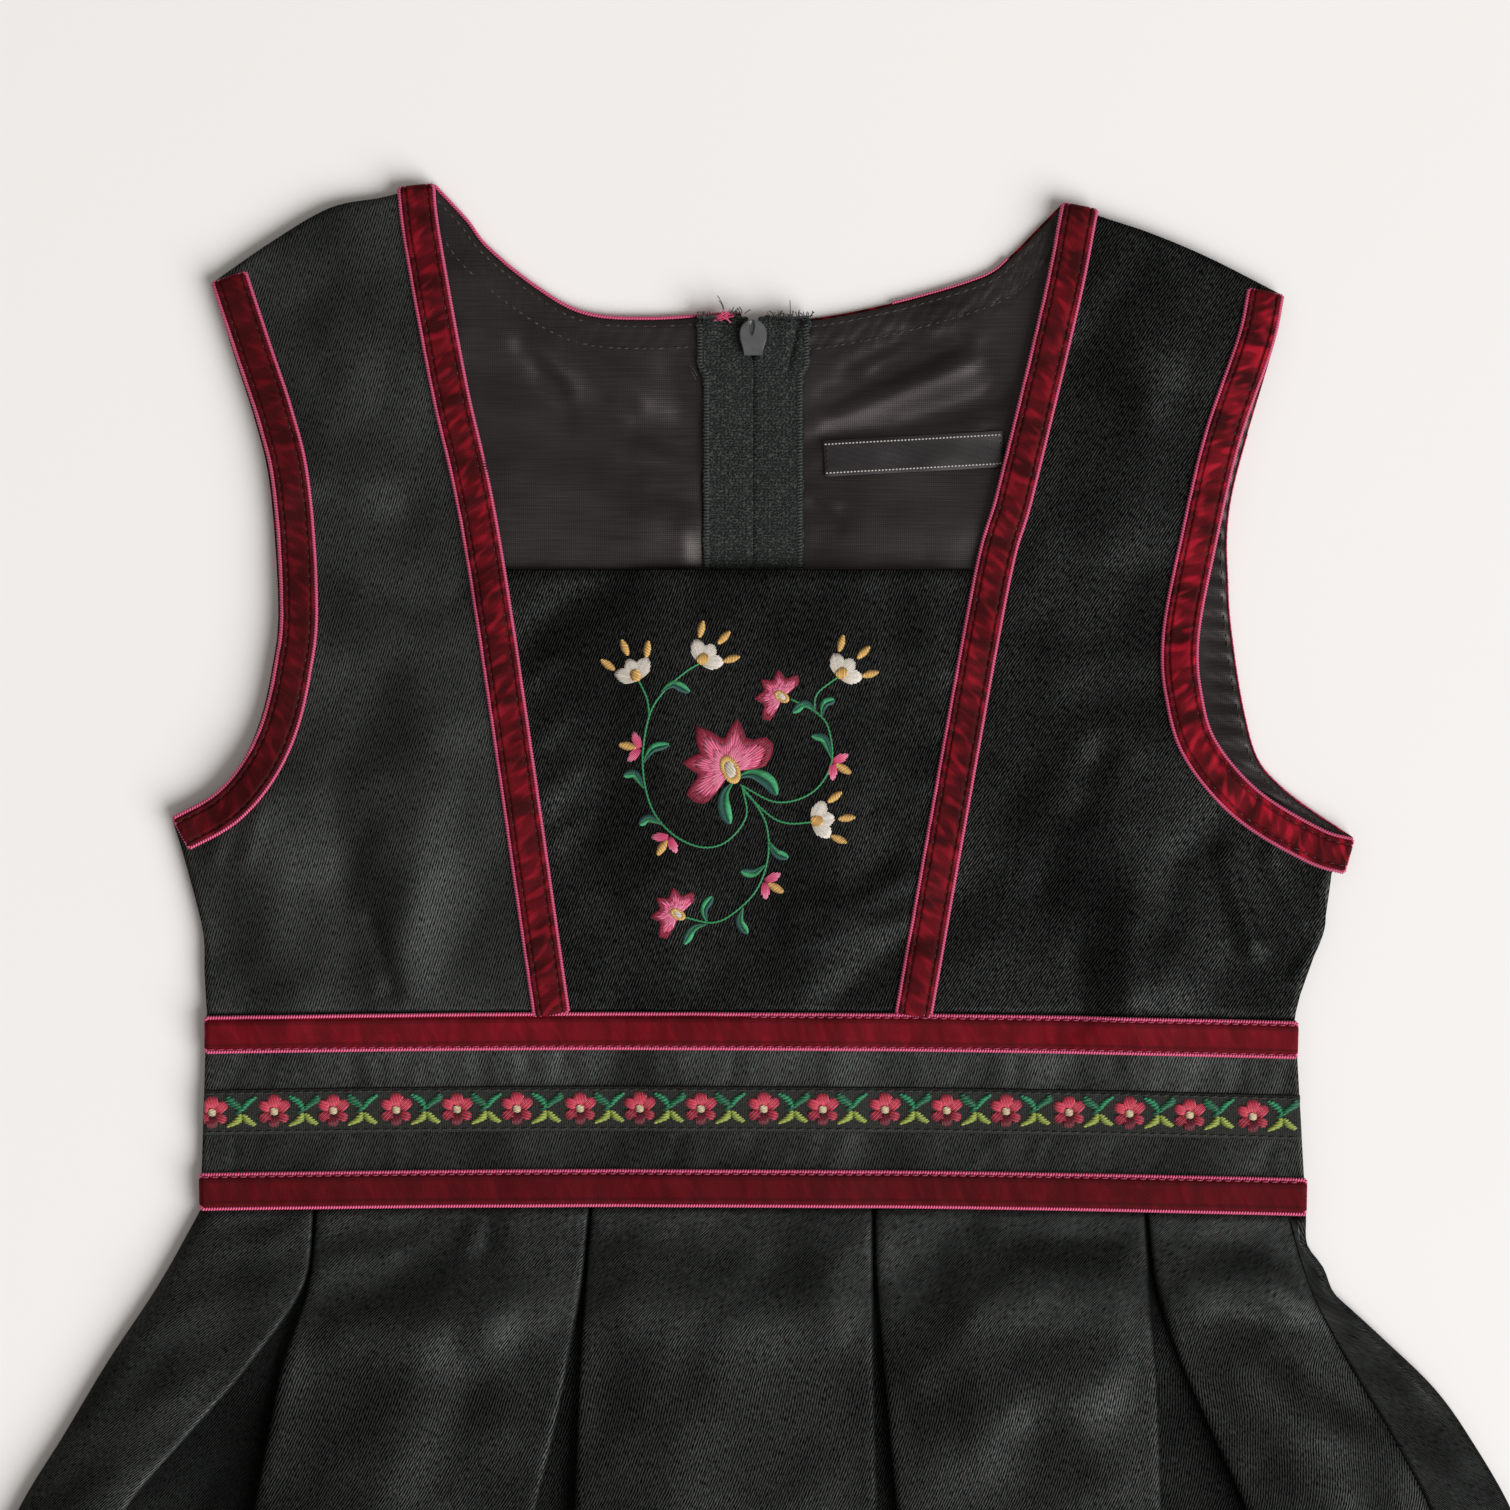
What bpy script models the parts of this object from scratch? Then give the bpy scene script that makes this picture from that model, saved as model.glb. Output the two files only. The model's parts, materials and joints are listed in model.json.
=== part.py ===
"""Child's festive dress in bunad style, laid flat and face up on a surface.

The dress lies in the XY plane: +Y runs from the hem to the shoulders, +X to the right of someone
who looks down on it, and +Z up out of the surface. The back lies underneath, with a flat underside
at z = 0, then come its lining, the zip tapes, and the front with its ribbons.

Sizes are in millimetres. Heights along the dress (y) are measured from the foot of the waistband,
which lies WAIST_Y in front of the origin, so that the origin is the middle of the whole outline.
"""
import math

import bpy
from mathutils import Vector

MM = 0.001

# Layers of cloth
CLOTH = 1.1             # thickness of one wall of cloth
SEAM = 0.3              # gap between pieces that are sewn to, or lie on, each other
LAYER = CLOTH + SEAM    # from one layer of cloth to the next
ON_FLOOR = CLOTH / 2    # middle height of a wall that lies on the surface

# Overall sizes
WAIST_Y = 54.5          # foot of the waistband, from the middle of the outline
SKIRT_LENGTH = 380.0    # foot of the waistband to hem, down the middle
HEM_HALF_WIDTH = 297.0
HEM_RISE = 33.0         # the hem curves up by this much at its two ends
BAND_HEIGHT = 51.6      # waistband
VELVET_WIDTH = 9.6
FLOWER_RIBBON_WIDTH = 11.6
LOWER_VELVET_Y = 0.4    # lower edges of the three ribbons, up the waistband
FLOWER_RIBBON_Y = 20.2
UPPER_VELVET_Y = 41.8
TRIM_OVERLAP = 2.5      # how far the neck ribbon reaches over the seam of the bib
BIB_TOP = 168.5
ZIP_X = -0.5
TAPE_WIDTH = 12.8
TAPE_TOP = 235.4
TAB_SLOT = 3.3          # half width that is left open for the pull tab below the slider
TAB_SLOT_FOOT = 204.0

# Slider of the zip, its pull tab and the label
SLIDER_Y = 230.2        # middle of the slider
SLIDER_LOW = 3 * LAYER
SLIDER_HIGH = SLIDER_LOW + 2.3
SLIDER_HEAD = 3.6       # radius of its round head
SLIDER_FLANK = ((2.45, -4.9), (2.7, -3.4), (3.0, -2.3), (3.44, -0.8))  # from the tail to the head
HINGE_Y = 231.0         # axis of the pull tab
TAB_THICK = 0.9
TAB_LENGTH = 20.0
TAB_WIDTH = 4.6
TAB_HEAD = 1.3          # half width at the hinge
LABEL_START = (18.6, 193.4)
LABEL_END = (66.0, 196.0)
LABEL_WIDTH = 9.4

# Air between the layers of the dress
BODICE_LOFT = 1.5       # how far the front of the bodice stands off its back
SIDE_LOFT_X = 152.0     # the loft begins here, at the side seams,
SIDE_LOFT_RUN = 45.0    # and is full this much further in
SHOULDER_LOFT_Y = 270.0
SHOULDER_SLOPE = 0.45   # the shoulder seam drops by this share of the way out
SHOULDER_LOFT_RUN = 35.0
SKIRT_LOFT = 1.7        # in the open skirt the layers of a pleat lie further apart, by this share
SKIRT_LOFT_DEPTH = 110.0

# Points along an armhole and along half of the back neck, shared by what is sewn along them
ARMHOLE_STEPS = 13
NECK_STEPS = 9

# Left edge of the front, from the waist to the underarm: across (x), up (y)
SIDE_LEFT = ((-144.6, 51.9), (-145.2, 62.0), (-145.6, 73.0), (-149.3, 88.0), (-153.7, 103.4))
# Armhole, from the underarm to the shoulder
ARMHOLE_LEFT = (
    (-153.7, 103.4), (-142.8, 109.4), (-135.4, 117.7), (-130.1, 128.8), (-126.9, 142.3),
    (-125.1, 158.5), (-127.2, 190.3), (-131.2, 207.8), (-137.3, 226.0), (-143.4, 244.3))
# Shoulder, from the armhole to the neck
SHOULDER_LEFT = ((-143.4, 244.3), (-127.2, 255.5), (-112.1, 264.2), (-98.0, 267.0), (-84.8, 270.4))
# Inner edge of the neck ribbon, from the waist to the shoulder
NECK_LEFT = ((-49.0, 52.2), (-66.5, 172.0), (-76.1, 218.1), (-83.2, 257.0), (-84.8, 270.4))
# Back neckline, from the shoulder to the zip
BACK_NECK_LEFT = (
    (-84.8, 270.4), (-76.3, 261.3), (-71.0, 254.4), (-58.8, 244.3), (-45.3, 236.8), (-27.8, 235.3),
    (-4.2, 236.9))

SIDE_RIGHT = ((142.4, 51.9), (145.8, 62.8), (150.3, 74.0), (151.0, 86.0), (157.9, 97.8))
ARMHOLE_RIGHT = (
    (157.9, 97.8), (149.5, 100.4), (133.3, 110.2), (121.9, 123.2), (118.0, 135.5), (117.1, 150.0),
    (121.1, 172.5), (127.7, 201.4), (136.7, 227.6), (139.6, 240.9))
SHOULDER_RIGHT = ((139.6, 240.9), (119.8, 251.0), (104.1, 257.6), (91.4, 261.8), (81.1, 265.4))
NECK_RIGHT = ((37.1, 52.2), (56.7, 161.4), (64.1, 190.5), (76.1, 240.4), (81.1, 265.4))
BACK_NECK_RIGHT = (
    (81.1, 265.4), (74.7, 258.9), (67.3, 251.5), (59.6, 246.2), (37.4, 239.6), (15.1, 235.3),
    (3.4, 236.2))
# The back shows past the front here, so its armholes have their own lines
BACK_ARMHOLE_LEFT = (
    (-154.0, 102.8), (-143.8, 108.6), (-136.4, 116.9), (-131.1, 128.4), (-127.9, 142.1),
    (-126.1, 158.5), (-128.3, 190.6), (-132.2, 208.1), (-138.0, 226.2), (-143.4, 244.3))
BACK_ARMHOLE_RIGHT = (
    (157.9, 98.2), (147.6, 104.9), (138.9, 111.6), (132.8, 119.0), (129.3, 131.2), (126.7, 146.8),
    (125.1, 163.8), (125.9, 188.0), (137.0, 227.6), (139.6, 240.9))

# Skirt: depths below the waistband at which each line gives how far across (x) it lies
DEPTHS = (0, 20, 40, 60, 80, 200, 380)
LEFT_EDGE = (-146.4, -157.6, -170.5, -182.2, -194.2, -252.0, -297.0)
SIDE_SEAM = (141.0, 146.8, 156.6, 168.0, 178.3, 224.0, 252.0)
# Inverted box pleats: depth of each return, then the fold to its left and to its right
PLEATS = (
    dict(deep=24.0, left=(-116.9, -119.5, -132.6, -149.8, -166.0, -228.0, -268.0),
         right=(-115.5, -117.6, -124.2, -128.2, -132.0, -156.0, -184.0)),
    dict(deep=27.0, left=(-44.2, -46.1, -49.4, -53.4, -58.0, -84.0, -112.0),
         right=(-42.8, -44.5, -45.9, -46.7, -47.4, -51.0, -56.0)),
    dict(deep=27.0, left=(30.6, 30.8, 31.1, 31.6, 32.3, 35.0, 39.0),
         right=(32.0, 32.5, 34.0, 35.8, 37.6, 47.0, 61.0)),
    dict(deep=26.0, left=(102.6, 103.9, 105.6, 106.5, 107.3, 115.0, 130.0),
         right=(104.0, 106.3, 112.6, 121.2, 129.9, 171.0, 204.0)),
)
# The right edge is the back of the skirt, folded round to the front: depth, across
RIGHT_EDGE = (
    (0, 145.8), (8, 146.2), (14, 150.4), (21, 153.2), (26, 158.2), (32, 164.4), (48, 179.9),
    (64, 190.8), (80, 199.8), (200, 254.0), (380, 297.0))
SKIRT_ROWS = (0, 7, 14, 21, 28, 38, 50, 64, 80, 105, 140, 180, 230, 280, 330, 380)
PANEL_RISE = 0.5        # how far a panel of the skirt rises between its folds
# At the waist, and in the open skirt
EDGE_ROUND = (3.4, 6.4)     # the left edge is rounded over this width
SEAM_RUN = (9.0, 22.0)      # the last panel comes down to the side seam over this width
OPEN_DEPTH = 60.0

# Soft folds in the front, as ridges and troughs: a line (x, y), half width, and height
FOLDS = (
    dict(line=((-129, 108), (-130, 84), (-123, 58)), width=10, rise=1.1),
    dict(line=((-84, 124), (-89, 98), (-96, 62)), width=10, rise=1.2),
    dict(line=((-112, 178), (-86, 163)), width=10, rise=-1.0),
    dict(line=((-107, 135), (-84, 122)), width=10, rise=-0.9),
    dict(line=((-112, 226), (-100, 196)), width=13, rise=0.8),
    dict(line=((-48, 98), (-38, 80), (-17, 60)), width=9, rise=-1.0),
    dict(line=((-6, 62), (12, 58)), width=13, rise=0.7),
    dict(line=((106, 222), (98, 190)), width=12, rise=0.9),
    dict(line=((68, 151), (86, 153), (104, 150)), width=10, rise=-1.1),
    dict(line=((92, 124), (80, 100)), width=10, rise=1.0),
    dict(line=((102, 92), (112, 66)), width=11, rise=1.0),
    dict(line=((126, 97), (144, 76)), width=10, rise=-0.9),
    dict(line=((56, 80), (80, 55)), width=12, rise=-0.9),
    dict(line=((-117, -21), (-89, -23), (-70, -12)), width=8, rise=-1.3),
    dict(line=((-62, -13), (-86, -38), (-100, -78), (-112, -150)), width=13, rise=1.3),
    dict(line=((-73, -48), (-94, -74)), width=10, rise=-1.0),
    dict(line=((-166, -42), (-128, -26)), width=8, rise=-0.9),
    dict(line=((65, -12), (76, -22), (102, -28)), width=7, rise=0.8),
    dict(line=((50, -60), (62, -40), (92, -40)), width=11, rise=1.3),
    dict(line=((110, -17), (141, -21), (160, -33)), width=7, rise=1.0),
    dict(line=((118, -20), (134, -27), (156, -49)), width=8, rise=-1.4),
    dict(line=((114, -27), (132, -43), (152, -56)), width=9, rise=1.2),
    dict(line=((-15, -40), (-18, -160), (-20, -300)), width=20, rise=0.9),
    dict(line=((-200, -140), (-226, -250), (-238, -350)), width=22, rise=1.2),
    dict(line=((84, -120), (90, -230), (94, -350)), width=20, rise=1.0),
    dict(line=((190, -130), (212, -240), (226, -350)), width=20, rise=1.0),
)


# ---------------------------------------------------------------- curves and surfaces
def ease(t):
    """0 below 0, 1 above 1, and a soft S between."""
    t = min(max(t, 0.0), 1.0)
    return t * t * (3 - 2 * t)


def smooth_line(points, count):
    """count + 1 points, evenly spaced along a smooth line through the given ones."""
    given = [Vector(p) for p in points]
    padded = [2 * given[0] - given[1]] + given + [2 * given[-1] - given[-2]]
    fine = [given[0]]
    for k in range(len(given) - 1):
        p0, p1, p2, p3 = padded[k:k + 4]
        for step in range(1, 13):
            t = step / 12
            fine.append(0.5 * (2 * p1 + (p2 - p0) * t + (2 * p0 - 5 * p1 + 4 * p2 - p3) * t ** 2
                               + (3 * p1 - p0 - 3 * p2 + p3) * t ** 3))
    return even_line(fine, count)


def even_line(points, count):
    """count + 1 points, evenly spaced along straight runs between the given ones."""
    runs = [(b - a).length for a, b in zip(points, points[1:])]
    spacing = sum(runs) / count
    line = [points[0].copy()]
    k, start = 0, 0.0
    for i in range(1, count):
        while start + runs[k] < i * spacing:
            start += runs[k]
            k += 1
        line.append(points[k].lerp(points[k + 1], (i * spacing - start) / runs[k]))
    line.append(points[-1].copy())
    return line


def beside(line, distance):
    """The line moved sideways, to its left for a distance above 0."""
    moved = []
    for i, point in enumerate(line):
        along = (line[min(i + 1, len(line) - 1)] - line[max(i - 1, 0)]).normalized()
        moved.append(point + distance * Vector((-along.y, along.x)))
    return moved


def at_depth(values, depth, depths=DEPTHS):
    """A skirt line's x at a depth, on a smooth curve through its values."""
    k = max(i for i in range(len(depths) - 1) if depths[i] <= depth)

    def slope(i):
        low, high = max(i - 1, 0), min(i + 1, len(depths) - 1)
        return (values[high] - values[low]) / (depths[high] - depths[low])

    span = depths[k + 1] - depths[k]
    t = (depth - depths[k]) / span
    return ((2 * t ** 3 - 3 * t ** 2 + 1) * values[k] + (t ** 3 - 2 * t ** 2 + t) * span * slope(k)
            + (3 * t ** 2 - 2 * t ** 3) * values[k + 1] + (t ** 3 - t ** 2) * span * slope(k + 1))


def waist_dip(x):
    """How far the line of the waist lies above its middle height: it drops towards both ends."""
    return 0.3 - 0.0048 * x - 0.000084 * x * x


def reach(x, y, line):
    """How far a point lies from a line of straight runs."""
    point = Vector((x, y))
    nearest = []
    for a, b in zip(line, line[1:]):
        start, run = Vector(a), Vector(b) - Vector(a)
        share = min(max((point - start).dot(run) / run.length_squared, 0.0), 1.0)
        nearest.append((point - start - share * run).length)
    return min(nearest)


def folds(x, y):
    """Height of the soft folds at a point."""
    return sum(fold["rise"] * math.exp(-(reach(x, y, fold["line"]) / fold["width"]) ** 2)
               for fold in FOLDS)


def bodice_loft(x, y):
    """Air under the front: none at the side seams and the shoulders, most in between."""
    shoulder = SHOULDER_LOFT_Y - SHOULDER_SLOPE * max(abs(x) - 85, 0)
    return (BODICE_LOFT * ease((SIDE_LOFT_X - abs(x)) / SIDE_LOFT_RUN)
            * ease((shoulder - y) / SHOULDER_LOFT_RUN))


def front_height(x, y):
    """Middle height of the front: it lies on the lining, rises over the zip and has soft folds."""
    over_zip = LAYER * ease(2 - abs(x - ZIP_X) / 19)
    return 2 * LAYER + ON_FLOOR + over_zip + max(bodice_loft(x, y) + folds(x, y), 0.0)


def patch(bottom, top, left, right):
    """Rows of points that fill the space between four edges."""
    rows = []
    for j, (start, end) in enumerate(zip(left, right)):
        v = j / (len(left) - 1)
        row = []
        for i, (low, high) in enumerate(zip(bottom, top)):
            u = i / (len(bottom) - 1)
            corners = ((1 - u) * (1 - v) * bottom[0] + u * (1 - v) * bottom[-1]
                       + (1 - u) * v * top[0] + u * v * top[-1])
            row.append((1 - v) * low + v * high + (1 - u) * start + u * end - corners)
        rows.append(row)
    return rows


def raised(rows, height):
    """Flat rows of points lifted to a height, or to a function of their place."""
    if not callable(height):
        return [[Vector((p.x, p.y, height)) for p in row] for row in rows]
    return [[Vector((p.x, p.y, height(p.x, p.y))) for p in row] for row in rows]


# ---------------------------------------------------------------- solids
def material(name, colour, roughness, metallic=0.0):
    made = bpy.data.materials.get(name)
    if made is None:
        made = bpy.data.materials.new(name)
        made.use_nodes = True
        shader = made.node_tree.nodes["Principled BSDF"]
        shader.inputs["Base Color"].default_value = (*colour, 1.0)
        shader.inputs["Roughness"].default_value = roughness
        shader.inputs["Metallic"].default_value = metallic
    return made


def satin():
    return material("black_satin", (0.008, 0.009, 0.009), 0.42)


def lining_cloth():
    return material("lining", (0.017, 0.014, 0.014), 0.5)


def velvet():
    return material("red_velvet", (0.075, 0.002, 0.007), 0.8)


def woven_ribbon():
    return material("flower_ribbon", (0.05, 0.02, 0.015), 0.6)


def zip_tape_cloth():
    return material("zip_tape", (0.012, 0.015, 0.014), 0.75)


def label_cloth():
    return material("label", (0.012, 0.011, 0.011), 0.45)


def gunmetal():
    return material("gunmetal", (0.09, 0.09, 0.095), 0.38, 0.8)


def add_object(name, points, faces, finish):
    """One named solid, made of points in millimetres above the foot of the waistband."""
    mesh = bpy.data.meshes.new(name)
    mesh.from_pydata([p * MM for p in points], [], faces)
    mesh.materials.append(finish)
    mesh.shade_smooth()
    mesh.set_sharp_from_angle(angle=math.radians(50))
    made = bpy.data.objects.new(name, mesh)
    made.location = (0, WAIST_Y * MM, 0)
    bpy.context.collection.objects.link(made)
    return made


def wall(name, rows, finish, thickness=CLOTH):
    """A wall of cloth whose middle runs through rows of points, which go left to right and up."""
    count, width = len(rows), len(rows[0])
    outer, inner = [], []
    for j, row in enumerate(rows):
        for i, point in enumerate(row):
            across = row[min(i + 1, width - 1)] - row[max(i - 1, 0)]
            up = rows[min(j + 1, count - 1)][i] - rows[max(j - 1, 0)][i]
            out = across.cross(up).normalized() * thickness / 2
            outer.append(point + out)
            inner.append(point - out)
    size = count * width
    faces = []
    for j in range(count - 1):
        for i in range(width - 1):
            a = j * width + i
            faces.append((a, a + 1, a + width + 1, a + width))
            faces.append((size + a, size + a + width, size + a + width + 1, size + a + 1))
    edge = [i for i in range(width)]
    edge += [j * width + width - 1 for j in range(1, count)]
    edge += [(count - 1) * width + i for i in range(width - 2, -1, -1)]
    edge += [j * width for j in range(count - 2, 0, -1)]
    for a, b in zip(edge, edge[1:] + edge[:1]):
        faces.append((a, size + a, size + b, b))
    return add_object(name, outer + inner, faces, finish)


def plate(name, outline, low, high, finish, bevel=0.25):
    """A flat hard piece: an outline, anticlockwise, between two heights, with eased edges."""
    inset = beside(outline + outline[:2], bevel)[1:-1]
    inset = inset[-1:] + inset[:-1]
    levels = ((inset, low), (outline, low + bevel), (outline, high - bevel), (inset, high))
    points = [Vector((p.x, p.y, z)) for ring, z in levels for p in ring]
    count = len(outline)
    faces = [tuple(reversed(range(count))), tuple(range(3 * count, 4 * count))]
    for k in range(3):
        for i in range(count):
            a, b = k * count + i, k * count + (i + 1) % count
            faces.append((a, b, b + count, a + count))
    return add_object(name, points, faces, finish)


# ---------------------------------------------------------------- bodice
def edges_of(side):
    """The measured lines of one half of the bodice."""
    if side == "left":
        return SIDE_LEFT, ARMHOLE_LEFT, SHOULDER_LEFT, NECK_LEFT, BACK_ARMHOLE_LEFT, BACK_NECK_LEFT
    return SIDE_RIGHT, ARMHOLE_RIGHT, SHOULDER_RIGHT, NECK_RIGHT, BACK_ARMHOLE_RIGHT, BACK_NECK_RIGHT


def half_patch(side, waist, shoulder, outer, middle):
    """The patch of one half, whose rows always run from left to right."""
    if side == "left":
        return patch(waist, shoulder, outer, middle)
    return patch(waist[::-1], shoulder[::-1], middle, outer)


def waist_line(start, end, y, count):
    """A straight run across, which follows the dip of the waist."""
    xs = [start + (end - start) * i / count for i in range(count + 1)]
    return [Vector((x, y + waist_dip(x))) for x in xs]


def front_panel(side):
    """The side of the front, from the side seam to the neck ribbon and up over the shoulder."""
    seam, armhole, shoulder, neck, _, _ = edges_of(side)
    outwards = 1 if side == "left" else -1
    outer = smooth_line(seam, 7) + smooth_line(armhole, 17)[1:]
    inner = beside(smooth_line(neck, 24), outwards * (TRIM_OVERLAP + SEAM / 2))
    top = smooth_line((outer[-1], *shoulder[1:-1], inner[-1]), 11)
    waist = waist_line(outer[0].x, inner[0].x, BAND_HEIGHT + SEAM, 11)
    outer[0], inner[0] = waist[0], waist[-1]
    rows = half_patch(side, waist, top, outer, inner)
    return wall("front_panel_" + side, raised(rows, front_height), satin())


def bib():
    """The square-necked middle of the front, between the neck ribbons."""
    left = beside(smooth_line(NECK_LEFT, 60), TRIM_OVERLAP - SEAM / 2)
    right = beside(smooth_line(NECK_RIGHT, 60), SEAM / 2 - TRIM_OVERLAP)
    left = even_line([p for p in left if p.y < BIB_TOP], 12)
    right = even_line([p for p in right if p.y < BIB_TOP], 12)
    waist = waist_line(left[0].x, right[0].x, BAND_HEIGHT + SEAM, 12)
    left[0], right[0] = waist[0], waist[-1]
    left[-1].y = right[-1].y = BIB_TOP
    top = even_line([left[-1], right[-1]], 12)
    return wall("bib", raised(patch(waist, top, left, right), front_height), satin())


def back_panel(side):
    """One half of the back, between the ribbons that are let in flush round its edges."""
    seam, _, shoulder, _, armhole, neck = edges_of(side)
    inwards = 1 if side == "left" else -1
    room = inwards * (VELVET_WIDTH + SEAM)
    armhole_edge = beside(smooth_line(armhole, ARMHOLE_STEPS), -room)
    neck_edge = beside(smooth_line(neck, NECK_STEPS), -room)
    low = even_line([Vector(seam[0]), Vector(seam[2]), armhole_edge[0]], 4)
    outer = low + armhole_edge[1:]
    centre = ZIP_X - inwards * SEAM / 2
    slot = ZIP_X - inwards * TAB_SLOT
    neck_end = Vector((slot, neck_edge[-1].y))
    middle = even_line([Vector((centre, BAND_HEIGHT + SEAM)), Vector((centre, TAB_SLOT_FOOT - 14)),
                        Vector((slot, TAB_SLOT_FOOT)), neck_end], 4 + ARMHOLE_STEPS)
    crown = [Vector(p) for p in shoulder[1:-1]]
    top = even_line([outer[-1]] + crown + [neck_edge[0]], 4)
    top += neck_edge[1:-1] + [neck_end]
    waist = waist_line(outer[0].x, centre, BAND_HEIGHT + SEAM, 4 + NECK_STEPS)
    outer[0], middle[0] = waist[0], waist[-1]
    rows = half_patch(side, waist, top, outer, middle)
    return wall("back_panel_" + side, raised(rows, ON_FLOOR), satin())


def back_lining(side):
    """The lining of one half of the back, seen through the neck and past the armhole."""
    seam, _, shoulder, _, armhole, neck = edges_of(side)
    inwards = 1 if side == "left" else -1
    outer = smooth_line(seam[:-1] + armhole[:1], 4)
    outer += beside(smooth_line(armhole, ARMHOLE_STEPS), -0.6 * inwards)[1:]
    edge = ZIP_X - inwards * TAB_SLOT
    neck_edge = beside(smooth_line(neck, NECK_STEPS), -0.8 * inwards)
    neck_end = Vector((edge, neck_edge[-1].y))
    top = smooth_line((outer[-1], *shoulder[1:-1], neck_edge[0]), 4)
    top += neck_edge[1:-1] + [neck_end]
    waist = waist_line(outer[0].x, edge, BAND_HEIGHT + SEAM, 4 + NECK_STEPS)
    middle = even_line([waist[-1], neck_end], 4 + ARMHOLE_STEPS)
    outer[0] = waist[0]
    rows = half_patch(side, waist, top, outer, middle)
    return wall("back_lining_" + side, raised(rows, LAYER + ON_FLOOR), lining_cloth())


# ---------------------------------------------------------------- ribbons
def strip(name, edge, width, height, finish, ends_at_waist=False):
    """A ribbon that runs along an edge, to the left of its direction for a width above 0."""
    lines = [beside(edge, width * share) for share in (0.0, 0.5, 1.0)]
    rows = [list(row) for row in zip(*lines)]
    if width > 0:
        rows = [row[::-1] for row in rows]
    if ends_at_waist:
        for point in rows[0]:
            point.y = BAND_HEIGHT + SEAM + waist_dip(point.x)
    return wall(name, raised(rows, height), finish)


def on_front(x, y):
    """Middle height of what is sewn on the front."""
    return front_height(x, y) + LAYER + 0.05


def neck_ribbons(side):
    """The ribbon up the strap, over the shoulder and along the back neck."""
    _, _, _, neck, _, back_neck = edges_of(side)
    outwards = 1 if side == "left" else -1
    strip("neck_ribbon_" + side, smooth_line(neck, 32), outwards * VELVET_WIDTH, on_front, velvet(),
          ends_at_waist=True)
    edge = smooth_line(back_neck, NECK_STEPS)
    edge[-1] = Vector((ZIP_X - outwards * TAB_SLOT, edge[-1].y))
    strip("back_neck_ribbon_" + side, edge, -outwards * VELVET_WIDTH, ON_FLOOR, velvet())


def armhole_ribbons(side):
    """The ribbon round the armhole: its front half on the front, its back half let in flush."""
    _, armhole, _, _, back_armhole, _ = edges_of(side)
    inwards = -1 if side == "left" else 1
    strip("armhole_ribbon_" + side, smooth_line(armhole, 24), inwards * VELVET_WIDTH, on_front,
          velvet())
    strip("back_armhole_ribbon_" + side, smooth_line(back_armhole, ARMHOLE_STEPS),
          inwards * VELVET_WIDTH, ON_FLOOR, velvet())


# ---------------------------------------------------------------- waistband
def band_ends(y):
    """Left and right end of the waistband at a height: it narrows a little upwards."""
    share = y / BAND_HEIGHT
    return -146.3 + 1.6 * share, 145.4 - 2.9 * share


def band_rows(bottom, top, start=None, end=None, count=36, lines=1):
    """Rows of points of a band across the waist, between two heights."""
    rows = []
    for k in range(lines + 1):
        y = bottom + (top - bottom) * k / lines
        left, right = band_ends(y)
        left = left if start is None else start
        right = right if end is None else end
        rows.append(waist_line(left, right, y, count))
    return rows


def waistband():
    """The band of the front and the two halves of the back."""
    low, high = SEAM, BAND_HEIGHT
    wall("waistband_front", raised(band_rows(low, high, lines=5), front_height), satin())
    height = LAYER + ON_FLOOR
    left = band_rows(low, high, end=ZIP_X - SEAM / 2, count=8)
    right = band_rows(low, high, start=ZIP_X + SEAM / 2, count=8)
    wall("waistband_back_left", raised(left, height), satin())
    wall("waistband_back_right", raised(right, height), satin())


def waist_ribbons():
    """Velvet at the top and foot of the waistband and the woven ribbon between, front and back."""
    for name, low, width, finish in (
            ("lower_ribbon", LOWER_VELVET_Y, VELVET_WIDTH, velvet()),
            ("flower_ribbon", FLOWER_RIBBON_Y, FLOWER_RIBBON_WIDTH, woven_ribbon()),
            ("upper_ribbon", UPPER_VELVET_Y, VELVET_WIDTH, velvet())):
        front = band_rows(low, low + width)
        wall(name + "_front", raised(front, on_front), finish)
        left = band_rows(low, low + width, end=ZIP_X - SEAM / 2, count=8)
        right = band_rows(low, low + width, start=ZIP_X + SEAM / 2, count=8)
        wall(name + "_back_left", raised(left, ON_FLOOR), finish)
        wall(name + "_back_right", raised(right, ON_FLOOR), finish)


# ---------------------------------------------------------------- skirt
def skirt_place(x, depth):
    """A point of the skirt in plan: the rows curve up towards the ends of the hem."""
    rise = HEM_RISE * (x / HEM_HALF_WIDTH) ** 2 * (depth / SKIRT_LENGTH) ** 2
    return Vector((x, waist_dip(x) * ease(1 - depth / 60) - depth + rise))


def lifted_row(section, depth):
    """One row of the skirt from its section, a list of (x, z)."""
    return [Vector((*skirt_place(x, depth), z)) for x, z in section]


def opened(sizes, depth):
    """Between two sizes: that at the waist and that in the open skirt."""
    return sizes[0] + (sizes[1] - sizes[0]) * ease(depth / OPEN_DEPTH)


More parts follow.
